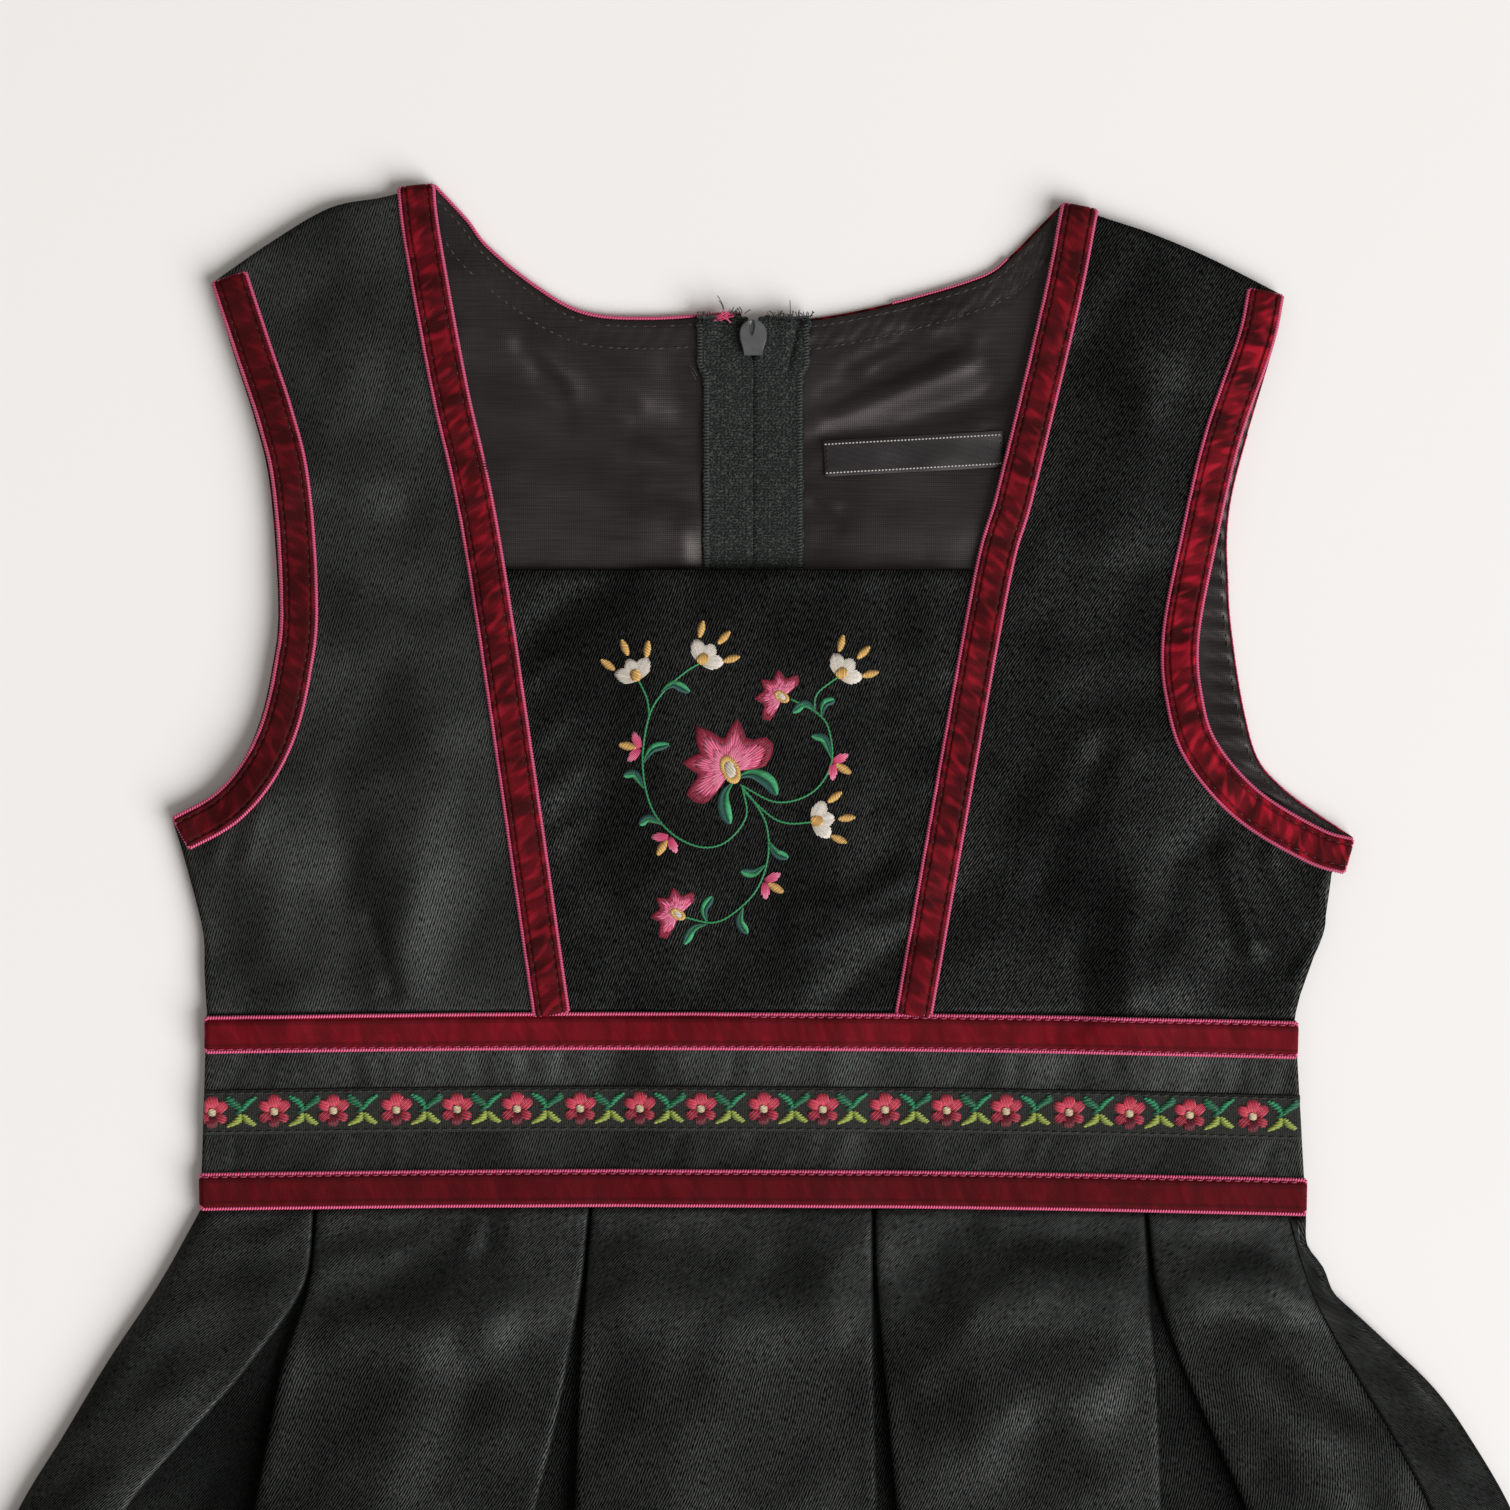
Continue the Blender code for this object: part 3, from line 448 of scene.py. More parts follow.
class Finish:
    """A material under construction. One method adds any node, and wear() fills in the shader."""

    def __init__(self, name):
        self.material = bpy.data.materials.new(name)
        self.material.use_nodes = True
        self.tree = self.material.node_tree
        self.shader = self.tree.nodes["Principled BSDF"]

    def feed(self, socket, value):
        if isinstance(value, Wire):
            self.tree.links.new(value.socket, socket)
        elif hasattr(value, "__len__"):
            socket.default_value = (*value, 1.0)[:len(socket.default_value)]
        else:
            socket.default_value = value

    def node(self, kind, settings, inputs=None, output=0):
        made = self.tree.nodes.new("ShaderNode" + kind)
        for name, value in settings.items():
            setattr(made, name, value)
        for name, value in (inputs or {}).items():
            self.feed(made.inputs[name], value)
        return Wire(self, made.outputs[output])

    def weave(self):
        """Millimetres across and along the cloth."""
        place = self.node("UVMap", {"uv_map": "weave"})
        return [self.node("SeparateXYZ", {}, {0: place}, k) for k in (0, 1)]

    def noise(self, u, v, wide, long, seed, detail=2.0):
        """Cloudy noise, its clouds so wide and so long in millimetres."""
        place = self.node("CombineXYZ", {}, {0: u / wide, 1: v / long, 2: seed})
        return self.node("TexNoise", {}, {"Vector": place, "Scale": 1.0, "Detail": detail})

    def mix(self, share, first, second):
        """From the first colour to the second."""
        return self.node("Mix", {"data_type": "RGBA"}, {0: share, 6: first, 7: second}, 2)

    def relief(self, height, deep):
        """A height from 0 to 1 as a bump so many millimetres deep."""
        return self.node("Bump", {}, {"Height": height, "Distance": deep * MM, "Strength": 1.0})

    def wear(self, **values):
        """Values and wires for the shader's sockets, named with _ for each space."""
        names = {name.replace(" ", "_").lower(): name for name in self.shader.inputs.keys()}
        for name, value in values.items():
            self.feed(self.shader.inputs[names[name]], value)
        return self.material


print("middle grey as a light value:", round(dye("808080")[0], 3))

# %% [markdown]
# ## Satin twill
# The dress is cut from black satin: a twill whose threads float over several others, so the cloth
# shines in soft grey patches and carries fine slanting lines. The gaps between the floats are
# almost black. The v of each weave map runs along the lines, so one wave across u makes them, and
# noise that is long along v breaks them up. A half metallic response lets each thread's own shade
# tint its shine, so the gaps stay dark where the floats glow. The broad patches of sheen are
# painted as noise. The bib and the right panel, cut across the grain, and the skirt wear copies
# of the finish painted darker, painted shade, and inside the pleats the twill is painted darker
# still, a painted shadow.

# %% Finish: black satin twill
TWILL = 0.67            # from one slanting line to the next
LOW_ANGLE = dye("4a4a4a")   # black thread stays dark when it is seen from low down


def satin_finish(name, bright, sparse):
    """Twill of so bright floats, fewer of them for a greater sparse, and painted shade inside the pleats."""
    made = Finish(name)
    u, v = made.weave()
    inside = made.node("Attribute", {"attribute_name": "inside"}, {}, 2)
    sway = made.noise(u, v, 7, 13, 2.0)
    lines = (u + sway * 0.9).wave(TWILL)
    floats = made.noise(u + v * 0.12, v, 0.26, 1.3, 5.0, 1.0)
    streaks = made.noise(u, v, 1.3, 4.5, 8.0)
    # painted sheen: broad patches of lighter twill
    sheen = made.noise(u, v, 17, 34, 3.0, 1.0).between(0.3, 0.7)
    hue = made.noise(u, v, 0.7, 0.9, 6.0, 1.0)
    threads = lines * 0.5 + floats * 1.1 + streaks * 0.2
    lit = threads.between(sparse, sparse + 0.72) * (sheen * 0.6 + 0.7) * bright
    # painted shade: the inside attribute darkens the twill where the skirt lies in its pleats
    lit = lit * (1.0 - inside * 0.85)
    tone = made.mix(hue.between(0.35, 0.65), dye("505756"), dye("575553"))
    return made.wear(base_color=made.mix(lit, dye("030303"), tone), metallic=0.7,
                     roughness=0.5 - lit * 0.08, normal=made.relief(threads, 0.05),
                     specular_ior_level=0.12, specular_tint=LOW_ANGLE)


# Copies of one satin: the first for the left panel, the back and the band, and two painted darker, painted
# shade, for the skirt and for the bib and right panel
satin = satin_finish("black satin twill", 0.74, 0.52)
satin_skirt_shaded = satin_finish("black satin twill of the skirt, painted darker", 0.7, 0.62)
satin_across_shaded = satin_finish("black satin twill, across the grain, painted darker", 0.64, 0.7)
print("made", satin.name, "in three lustres")

# %% [markdown]
# ## Lining
# The lining is a thin plain weave, a shade browner than the satin. Over and under cross each other
# thread by thread, which reads as a fine even grain, so two crossed waves are enough.

# %% Finish: lining
def lining_finish():
    made = Finish("brown-black lining")
    u, v = made.weave()
    grain = u.wave(0.55) * 0.5 + v.wave(0.5) * 0.5
    slubs = made.noise(u, v, 14, 0.5, 1.0)
    cloud = made.noise(u, v, 30, 24, 4.0)
    shade = grain * 0.3 + slubs * 0.35 + (cloud - 0.5) * 0.9 + 0.1
    return made.wear(base_color=made.mix(shade, dye("211f1e"), dye("565150")), metallic=0.8,
                     roughness=0.40 + (slubs - 0.5) * 0.15, specular_ior_level=0.15,
                     specular_tint=LOW_ANGLE,
                     normal=made.relief(grain * 0.5 + slubs, 0.03))


lining = lining_finish()
print("made", lining.name)

# %% [markdown]
# ## Velvet
# Velvet is a short dense pile. The light on its folds is painted as soft bright strokes that slant
# across the ribbon, with almost black wine between them, and shade is painted where the pile sinks
# along the rows of stitches. The strokes are noise stretched on a slant, and sheen lights the tips
# at a low angle. Copies of the finish are painted lighter or darker for ribbons in more or less light.

# %% Finishes: velvet and its raspberry edge
VELVET_WIDTH = 9.6
STITCH_IN = 1.9         # the rows of stitches, in from each edge
LOOP = 0.72             # from one edge loop to the next


def velvet_finish(name, bright, stroke=0.6, cloud=0.36, even=0.0):
    """Painted highlights of the crushed pile: so much of them in strokes, so much in soft clouds and so much
    lit evenly.
    """
    made = Finish(name)
    u, v = made.weave()
    slanted = v + u * 0.5
    # painted highlights of the pile's folds, in slanting strokes and soft clouds
    strokes = made.noise(u, slanted, 5, 2.5, 1.0, 0.5).between(0.47, 0.74)
    clouds = made.noise(u, v + u * 0.1, 14, 4.5, 6.0, 1.0).between(0.3, 0.72)
    tips = made.noise(u, v, 0.4, 0.4, 9.0)
    inside = abs(u - VELVET_WIDTH / 2)
    # painted shade where the pile sinks along both rows of stitches
    seam = abs(inside - (VELVET_WIDTH / 2 - STITCH_IN)).between(0.15, 0.9)
    lit = (clouds * cloud + strokes * stroke + even) * (seam * 0.5 + 0.5) * bright
    lit = lit + (tips - 0.5) * 0.26
    return made.wear(base_color=made.mix(lit, dye("330406"), dye("a01226")),
                     roughness=0.7 + (tips - 0.5) * 0.2, specular_ior_level=0.1,
                     sheen_weight=0.3, sheen_roughness=0.4, sheen_tint=dye("b5364f"),
                     normal=made.relief(tips * 0.5 + strokes * 0.5, 0.2))


def edge_finish():
    """Loops that slant round a cord, with painted highlights where each turn stands out and painted shade
    between.
    """
    made = Finish("raspberry edge")
    u, v = made.weave()
    turns = (v + u * 0.34).wave(LOOP)
    fibres = made.noise(u, v, 0.25, 0.5, 3.0)
    # painted highlight on each turn of the loops
    lit = turns.between(0.12, 0.9) * 0.8 + fibres * 0.3
    return made.wear(base_color=made.mix(lit, dye("8c1039"), dye("e65c8c")),
                     roughness=0.55, sheen_weight=0.2, normal=made.relief(fibres, 0.05))


# Copies of one velvet that differ in painted light: the brightest, painted lit, for the right armhole and the
# back; darker ones, painted shade, for the neck, the left armhole and the lower waist ribbon
velvet = velvet_finish("wine velvet", 1.3)
velvet_neck_shaded = velvet_finish("wine velvet, painted darker", 0.72)
velvet_dim = velvet_finish("wine velvet, in the shade", 0.3)
velvet_smooth = velvet_finish("wine velvet, smooth", 0.8, 0.12, 0.22, 0.26)
velvet_low_shaded = velvet_finish("wine velvet, smooth, painted darker", 0.44, 0.12, 0.22, 0.22)
raspberry = edge_finish()
print("made", velvet.name, "and", raspberry.name)

# %% [markdown]
# ## Threads
# Embroidery silk and sewing thread come in many colours. Each strand carries its own dye as an
# attribute of its points, so one finish serves every colour, with the gloss of twisted silk.

# %% Finish: dyed thread
def thread_finish():
    made = Finish("dyed thread")
    colour = made.node("Attribute", {"attribute_name": "dye"})
    u, v = made.weave()
    fibres = made.noise(u, v, 0.12, 0.8, 2.0)
    shaded = made.mix(fibres * 0.5, colour, dye("000000"))
    return made.wear(base_color=shaded, roughness=0.42, specular_ior_level=0.4,
                     sheen_weight=0.15, normal=made.relief(fibres, 0.04))


thread = thread_finish()
print("made", thread.name)

# %% [markdown]
# ## Woven ribbon, zip tape, label and metal
# The ribbon with flowers has a black ground of fine crosswise ribs. The zip tapes are knitted: rows
# of small loops with dark holes between. The label is smooth satin. The slider is painted metal.

# %% Finishes of the small pieces
def ribbon_ground_finish():
    made = Finish("black ribbon ground")
    u, v = made.weave()
    ribs = u.wave(0.46) * 0.35
    flecks = made.noise(u, v, 0.34, 0.5, 3.0)
    shade = (ribs + flecks * 1.1).between(0.45, 1.15)
    return made.wear(base_color=made.mix(shade, dye("060606"), dye("383934")),
                     roughness=0.6, specular_ior_level=0.2, normal=made.relief(ribs + flecks, 0.1))


def knit_finish():
    made = Finish("knitted zip tape")
    u, v = made.weave()
    sway = made.noise(u, v, 2.4, 2.4, 1.0)
    loops = (u + v.wave(1.9) * 0.45 + sway * 1.5).wave(1.15) * (v + sway * 1.3).wave(0.95)
    threads = abs(made.noise(u, v, 0.95, 0.7, 4.0, 1.0) - 0.5).between(0.07, 0.015)
    shade = (loops * 0.5 + threads * 0.8).between(0.1, 0.95)
    return made.wear(base_color=made.mix(shade, dye("030404"), dye("3a423e")),
                     roughness=0.72, specular_ior_level=0.3, normal=made.relief(shade, 0.4))


def label_finish():
    made = Finish("black label satin")
    u, v = made.weave()
    ribs = v.wave(0.32)
    cloud = made.noise(u, v, 9, 6, 2.0)
    # painted sheen: a broad lighter patch on the satin
    shine = made.noise(u, v, 26, 18, 5.0, 0.5).between(0.42, 0.7)
    shade = ribs * 0.2 + cloud * 0.2 + shine * 0.7
    return made.wear(base_color=made.mix(shade, dye("141313"), dye("6d6a6b")),
                     metallic=0.6, roughness=0.36 + (cloud - 0.5) * 0.1,
                     normal=made.relief(ribs, 0.02))


GROOVE_Y = 232.6        # middle of the slider's groove


def metal_finish(name, groove=0.0):
    """Gunmetal. The slider's head has a groove like a drop, pressed in from above and painted darker, painted
    shade.
    """
    made = Finish(name)
    place = made.node("TexCoord", {}, {}, 3)
    grain = made.node("TexNoise", {}, {"Vector": place, "Scale": 2500.0, "Detail": 3.0})
    cloud = made.node("TexNoise", {}, {"Vector": place, "Scale": 300.0, "Detail": 2.0})
    x, y = (made.node("SeparateXYZ", {}, {0: place}, k) / MM for k in (0, 1))
    across, along = (x - ZIP_X + 0.35) / 0.95, (y - GROOVE_Y - WAIST_Y) / 2.3
    drop = (across * across * (1.25 - along * 0.55) + along * along).between(1.0, 0.15) * groove
    shade = made.mix(cloud, dye("5a5a5c"), dye("77777a"))
    # painted shade: the groove is darkened in colour as well as pressed in
    return made.wear(base_color=made.mix(drop * 0.5, shade, dye("2a2a2c")), metallic=0.8,
                     roughness=0.4 + grain * 0.2, normal=made.relief(grain * 0.03 - drop, 0.5))


ribbon_ground = ribbon_ground_finish()
knit = knit_finish()
label_satin = label_finish()
gunmetal = metal_finish("gunmetal")
slider_metal = metal_finish("gunmetal of the slider", 1.0)
print("finishes:", len(bpy.data.materials))

# %% [markdown]
# ## From a grid to a piece of cloth
# A sheet of cloth has two faces and a thickness. A grid of points is copied to the upper and the
# lower face, and a third ring of points between them rounds the cut edge. The millimetres across
# and along the cloth are stored as a UV map, for the weave.

# %% Meshes from grids
def add_mesh(name, points, faces, finish, weave, dyes=None):
    """One object from points in millimetres."""
    world = np.asarray(points, float) * MM + (0, WAIST_Y * MM, 0)
    mesh = bpy.data.meshes.new(name)
    mesh.from_pydata(world.tolist(), [], faces)
    mesh.materials.append(finish)
    mesh.shade_smooth()
    corners = np.empty(len(mesh.loops), np.int32)
    mesh.loops.foreach_get("vertex_index", corners)
    layer = mesh.uv_layers.new(name="weave")
    layer.data.foreach_set("uv", np.asarray(weave, np.float32)[corners].ravel())
    if dyes is not None:
        stored = mesh.attributes.new("dye", "FLOAT_VECTOR", "POINT")
        stored.data.foreach_set("vector", np.asarray(dyes, np.float32).ravel())
    made = bpy.data.objects.new(name, mesh)
    bpy.context.scene.collection.objects.link(made)
    return made


def grid_faces(rows, columns, closed=False):
    """Quads of a grid whose points are numbered row by row."""
    across = np.arange(columns if closed else columns - 1)
    j, i = np.meshgrid(np.arange(rows - 1), across, indexing="ij")
    right = (i + 1) % columns
    quads = np.stack([j * columns + i, j * columns + right,
                      (j + 1) * columns + right, (j + 1) * columns + i], axis=-1)
    return quads.reshape(-1, 4)


def rim_of(rows, columns):
    """Numbers of the outer points of a grid, anticlockwise."""
    grid = np.arange(rows * columns).reshape(rows, columns)
    return np.concatenate([grid[0, :-1], grid[:-1, -1], grid[-1, :0:-1], grid[:0:-1, 0]])


def grid_normals(grid):
    across = np.gradient(grid, axis=1)
    up = np.gradient(grid, axis=0)
    normals = np.cross(across, up)
    return normals / np.linalg.norm(normals, axis=2)[..., None]


def measured_weave(grid):
    """Millimetres across and along a grid, measured on the cloth."""
    steps = np.linalg.norm(np.diff(grid, axis=1), axis=2)
    across = np.pad(np.cumsum(steps, axis=1), ((0, 0), (1, 0)))
    steps = np.linalg.norm(np.diff(grid, axis=0), axis=2)
    along = np.pad(np.cumsum(steps, axis=0), ((1, 0), (0, 0)))
    return np.dstack([across, along])


def shell(name, low, high, finish, weave=None, rounding=0.35):
    """A closed sheet between two grids of points, with rounded edges."""
    rows, columns = low.shape[:2]
    size = rows * columns
    rim = rim_of(rows, columns)
    flat_low, flat_high = low.reshape(-1, 3), high.reshape(-1, 3)
    middle = (flat_low + flat_high)[rim] / 2
    thick = np.linalg.norm((flat_high - flat_low)[rim], axis=1)
    ring = np.roll(middle, -1, axis=0) - np.roll(middle, 1, axis=0)
    out = np.column_stack([ring[:, 1], -ring[:, 0], np.zeros(len(ring))])
    out /= np.linalg.norm(out, axis=1)[:, None] + 1e-9
    middle = middle + out * (thick * rounding)[:, None]
    weave = low[..., :2] if weave is None else weave
    weave = weave.reshape(-1, 2)
    points = np.vstack([flat_high, flat_low, middle])
    faces = grid_faces(rows, columns).tolist()
    faces += (grid_faces(rows, columns)[:, ::-1] + size).tolist()
    last = 2 * size + np.arange(len(rim))
    after, last_after = np.roll(rim, -1), np.roll(last, -1)
    faces += np.column_stack([rim + size, after + size, last_after, last]).tolist()
    faces += np.column_stack([last, last_after, after, rim]).tolist()
    return add_mesh(name, points, faces, finish, np.vstack([weave, weave, weave[rim]]))


def cloth_wall(name, middle, thickness, finish, weave=None):
    """A sheet of even thickness about a grid of points."""
    out = grid_normals(middle) * thickness / 2
    return shell(name, middle - out, middle + out, finish, weave)


def twill(places, slant):
    """A weave map turned so that its v runs along twill lines that rise at a slant, in degrees."""
    c, s = math.cos(math.radians(slant)), math.sin(math.radians(slant))
    x, y = places[..., 0], places[..., 1]
    return np.dstack([x * s - y * c, x * c + y * s])


def flat_area(grid):
    """Area of a grid of points, in square millimetres."""
    across, up = np.diff(grid, axis=1)[:-1], np.diff(grid, axis=0)[:, :-1]
    return np.linalg.norm(np.cross(across, up), axis=2).sum()


print("a grid of 3 by 4 points has", len(grid_faces(3, 4)), "faces")

# %% [markdown]
# ## Pieces on the imported model
# Every piece rides on a body of the imported model and hides the plain solids that it stands for,
# and, as it is cloth, the size that it was cut to is noted. The size is measured along the rows and
# columns of its own grid, so it follows the folds, but it is no second opinion on the cut.

# %% Cloth on the model
LEAST_WIDTH = 10.0      # narrower ribbons are declared as wide as this, the least that is taken
cut_sizes = {}


def declare_cloth(piece, grid, nodes, rests_on=()):
    """A piece of cloth of the dress, and the size that it was cut to."""
    weave = measured_weave(grid)
    width, length = sorted((weave[:, -1, 0].max(), weave[-1, :, 1].max()))
    width = max(width, LEAST_WIDTH)
    area = min(flat_area(grid), width * length)
    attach(piece, "dress")
    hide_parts(*nodes)
    cut_sizes[piece.name] = (round(width), round(length), round(area / 100))
    return piece


def trim(piece, body="dress"):
    """Sewing, loops and other small work, which goes with the cloth that it is sewn to."""
    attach(piece, body)
    return piece


print("no cloth is declared narrower than", LEAST_WIDTH, "mm")

# %% [markdown]
# ## The bodice
# The front has two side panels and a square bib between the ribbons. Their grids are fine, one to
# two millimetres a step, so that the folds read as soft shapes and not as facets. The back lies
# flat on the table, so five millimetres do for it, and its lining shows in the neck.

# %% Front panels and bib
OUTWARDS = {"left": 1, "right": -1}
STEPS_ACROSS = 64
STEPS_UP = 130


def half_patch(side, waist, shoulder, outer, middle):
    """The patch of one half, whose rows always run from left to right."""
    if side == "left":
        return patch(waist, shoulder, outer, middle)
    return patch(waist[::-1], shoulder[::-1], middle, outer)


def front_panel(side):
    out = OUTWARDS[side]
    outer = np.vstack([smooth_line(SIDE[side], 32), smooth_line(ARMHOLE[side], STEPS_UP - 32)[1:]])
    inner = beside(smooth_line(NECK[side], STEPS_UP), out * (TRIM_OVERLAP + SEAM / 2))
    top = smooth_line((outer[-1], *SHOULDER[side][1:-1], inner[-1]), STEPS_ACROSS)
    waist = waist_line(outer[0, 0], inner[0, 0], BAND_HEIGHT + SEAM, STEPS_ACROSS)
    outer[0], inner[0] = waist[0], waist[-1]
    grid = raised(half_patch(side, waist, top, outer, inner), front_height)
    # the right panel wears the copy of the satin painted darker, painted shade
    slant, finish = {"left": (73, satin), "right": (56, satin_across_shaded)}[side]
    piece = cloth_wall("front_panel_" + side + "_satin", grid, SATIN, finish, twill(grid, slant))
    return declare_cloth(piece, grid, ["front_panel_" + side],
                         rests_on=["back_lining_" + side])


def bib():
    left = beside(smooth_line(NECK["left"], 240), TRIM_OVERLAP - SEAM / 2)
    right = beside(smooth_line(NECK["right"], 240), SEAM / 2 - TRIM_OVERLAP)
    left = even_line(left[left[:, 1] < BIB_TOP], 60)
    right = even_line(right[right[:, 1] < BIB_TOP], 60)
    waist = waist_line(left[0, 0], right[0, 0], BAND_HEIGHT + SEAM, 64)
    left[0], right[0] = waist[0], waist[-1]
    left[-1, 1] = right[-1, 1] = BIB_TOP
    top = even_line([left[-1], right[-1]], 64)
    grid = raised(patch(waist, top, left, right), front_height)
    # the bib wears the copy of the satin painted darker, painted shade
    piece = cloth_wall("bib_satin", grid, SATIN, satin_across_shaded, twill(grid, 69))
    return declare_cloth(piece, grid, ["bib"], rests_on=["back_lining_left"])


for side in OUTWARDS:
    front_panel(side)
bib()
print("front panels and bib, cut to", cut_sizes)


# %% Back panels, with the slot for the pull tab
def back_panel(side):
    inwards = OUTWARDS[side]
    room = inwards * (VELVET_WIDTH + SEAM)
    armhole = beside(smooth_line(BACK_ARMHOLE[side], 26), -room)
    neck = beside(smooth_line(BACK_NECK[side], 18), -room)
    low = even_line([SIDE[side][0], SIDE[side][2], armhole[0]], 8)
    outer = np.vstack([low, armhole[1:]])
    centre, slot = ZIP_X - inwards * SEAM / 2, ZIP_X - inwards * TAB_SLOT
    middle = even_line([(centre, BAND_HEIGHT + SEAM), (centre, TAB_SLOT_FOOT - 14),
                        (slot, TAB_SLOT_FOOT), (slot, neck[-1, 1])], 34)
    crown = even_line([outer[-1], *SHOULDER[side][1:-1], neck[0]], 8)
    top = np.vstack([crown, neck[1:-1], middle[-1:]])
    waist = waist_line(outer[0, 0], centre, BAND_HEIGHT + SEAM, len(top) - 1)
    outer[0], middle[0] = waist[0], waist[-1]
    grid = raised(half_patch(side, waist, top, outer, middle), ON_FLOOR)
    piece = cloth_wall("back_panel_" + side + "_satin", grid, CLOTH, satin, twill(grid, 66))
    return declare_cloth(piece, grid, ["back_panel_" + side])


for side in OUTWARDS:
    back_panel(side)
    print(side, "back panel cut to", cut_sizes["back_panel_" + side + "_satin"])

# %% [markdown]
# ## The lining in the neck
# Two rows of stitches hold the lining below the back neckline, and between them the cloth gathers
# into short slanting puckers. Long drag creases run down from the shoulders towards the zip.

# %% Lining
LINING_FOLDS = (
    ((-76, 222), (-46, 214), (-18, 204), 7.0, -1.5),
    ((-74, 232), (-46, 222), (-22, 210), 5.0, 0.8),
    ((-78, 198), (-47, 189), (-18, 179), 8.5, 2.8),
    ((-31, 206), (-15, 204), 2.2, -0.8),
    ((-30, 200), (-15, 196), 2.4, 0.8),
    ((-28, 193), (-15, 191), 2.0, 0.6),
    ((-62, 228), (-54, 218), (-50, 208), 2.6, -0.9),
    ((-58, 230), (-48, 216), 2.2, 0.6),
    ((-50, 226), (-40, 215), 2.2, -0.6),
    ((-36, 222), (-30, 213), 2.6, 0.5),
    ((-24, 222), (-20, 212), 2.6, -0.5),
    ((-70, 236), (-60, 226), 3.0, 0.6),
    ((20, 214), (38, 222), (54, 230), 3.4, -1.3),
    ((16, 208), (34, 215), (56, 224), 3.2, 1.1),
    ((15, 204), (38, 206), (62, 214), 3.4, -0.9),
    ((14, 199), (34, 202), (58, 206), 3.0, 0.7),
    ((24, 222), (40, 230), 2.2, -0.6),
    ((15, 190), (21, 186), 1.8, 0.6),
    ((15, 186), (22, 180), 1.8, -0.6),
    ((22, 230), (30, 222), 2.6, 0.4),
    ((40, 236), (46, 226), 2.2, -0.5),
    ((50, 238), (58, 230), 2.4, 0.6),
    ((58, 226), (66, 216), 3.4, -0.7),
    ((30, 184), (52, 177), 6.0, 0.7),
    ((18, 176), (44, 171), 4.0, -0.5),
)
STITCH_DEPTHS = (2.1, 8.0)      # of the two rows of stitches below the neckline
GATHER = 3.7            # one pucker for each, in the slanted measure that lining_height takes
ARMHOLE_GATHER = 6.4    # the same at the armhole, in its own slanted measure
LOFT_LEFT, LOFT_RIGHT = 1.3, 0.4    # how far the lining stands up at most, left and right of the zip


def lining_height(x, y):
    """Middle height of the lining, with its gathers and creases. It stands up a little between
    the zip, the neckline and the bib, on the left more than under the label."""
    free = ease((np.abs(x - ZIP_X) - 11) / 8) * 0.8 + 0.2
    height = LAYER + ON_FLOOR + folds(x, y, LINING_FOLDS) * free
    loft = np.where(x < ZIP_X, LOFT_LEFT, LOFT_RIGHT) * ease((np.abs(x - ZIP_X) - 15) / 16)
    loft *= ease((y - 166) / 16) * ease((100 - np.abs(x)) / 20)
    for side in OUTWARDS:
        below = reach(x, y, smooth_line(BACK_NECK[side], 40))
        band = ease((below - 1.2) / 2) * ease((11 - below) / 4)
        run = x * 1.15 + y * 0.7 + 0.8 * np.sin(x * 0.9)
        height += 0.42 * np.sin(run * 2 * math.pi / GATHER) * band
        loft *= ease((below - 3) / 14)
        for deep in STITCH_DEPTHS:
            height -= 0.25 * np.exp(-((below - deep) / 0.6) ** 2)
    armhole = reach(x, y, smooth_line(BACK_ARMHOLE["right"], 60))
    band = ease((armhole - 1.0) / 2) * ease((8 - armhole) / 4)
    height += 0.7 * np.sin((y * 1.2 + x * 0.5) * 2 * math.pi / ARMHOLE_GATHER) * band
    return np.clip(height + loft, LAYER + 0.15, None)


def back_lining(side):
    inwards = OUTWARDS[side]
    armhole = beside(smooth_line(BACK_ARMHOLE[side], 130 if side == "right" else 60),
                     -0.6 * inwards)
    outer = np.vstack([smooth_line(SIDE[side][:-1] + BACK_ARMHOLE[side][:1], 24), armhole[1:]])
    edge = ZIP_X - inwards * TAB_SLOT
    neck = beside(smooth_line(BACK_NECK[side], 62), -0.8 * inwards)
    neck[-1, 0] = edge
    crown = smooth_line((outer[-1], *SHOULDER[side][1:-1], neck[0]), 26)
    top = np.vstack([crown, neck[1:]])
    waist = waist_line(outer[0, 0], edge, BAND_HEIGHT + SEAM, len(top) - 1)
    middle = even_line([waist[-1], neck[-1]], len(outer) - 1)
    outer[0] = waist[0]
    grid = raised(half_patch(side, waist, top, outer, middle), lining_height)
    piece = cloth_wall("back_lining_" + side + "_cloth", grid, LINING, lining)
    return declare_cloth(piece, grid, ["back_lining_" + side],
                         rests_on=["back_panel_" + side])


for side in OUTWARDS:
    back_lining(side)
    print(side, "lining cut to", cut_sizes["back_lining_" + side + "_cloth"])

# %% [markdown]
# ## Velvet ribbons
# Across its width a velvet ribbon is a low rounded cushion: the pile swells, dips where the
# stitches hold it down, and ends at a firm woven edge. Both edges carry a row of tiny slanted
# loops, and a dashed line of stitches runs inside each edge.

# %% Tubes, beads and bundles of small pieces
class Bundle:
    """Many small closed bodies, gathered into one mesh."""

    def __init__(self):
        self.points, self.faces, self.weave, self.dyes = [], [], [], []
        self.count = 0

    def add(self, points, faces, weave, colour=(0.0, 0.0, 0.0)):
        self.points.append(points)
        self.faces += [[k + self.count for k in face] for face in faces]
        self.weave.append(weave)
        self.dyes.append(np.broadcast_to(colour, points.shape))
        self.count += len(points)

    def build(self, name, finish):
        return add_mesh(name, np.vstack(self.points), self.faces, finish,
                        np.vstack(self.weave), np.vstack(self.dyes))


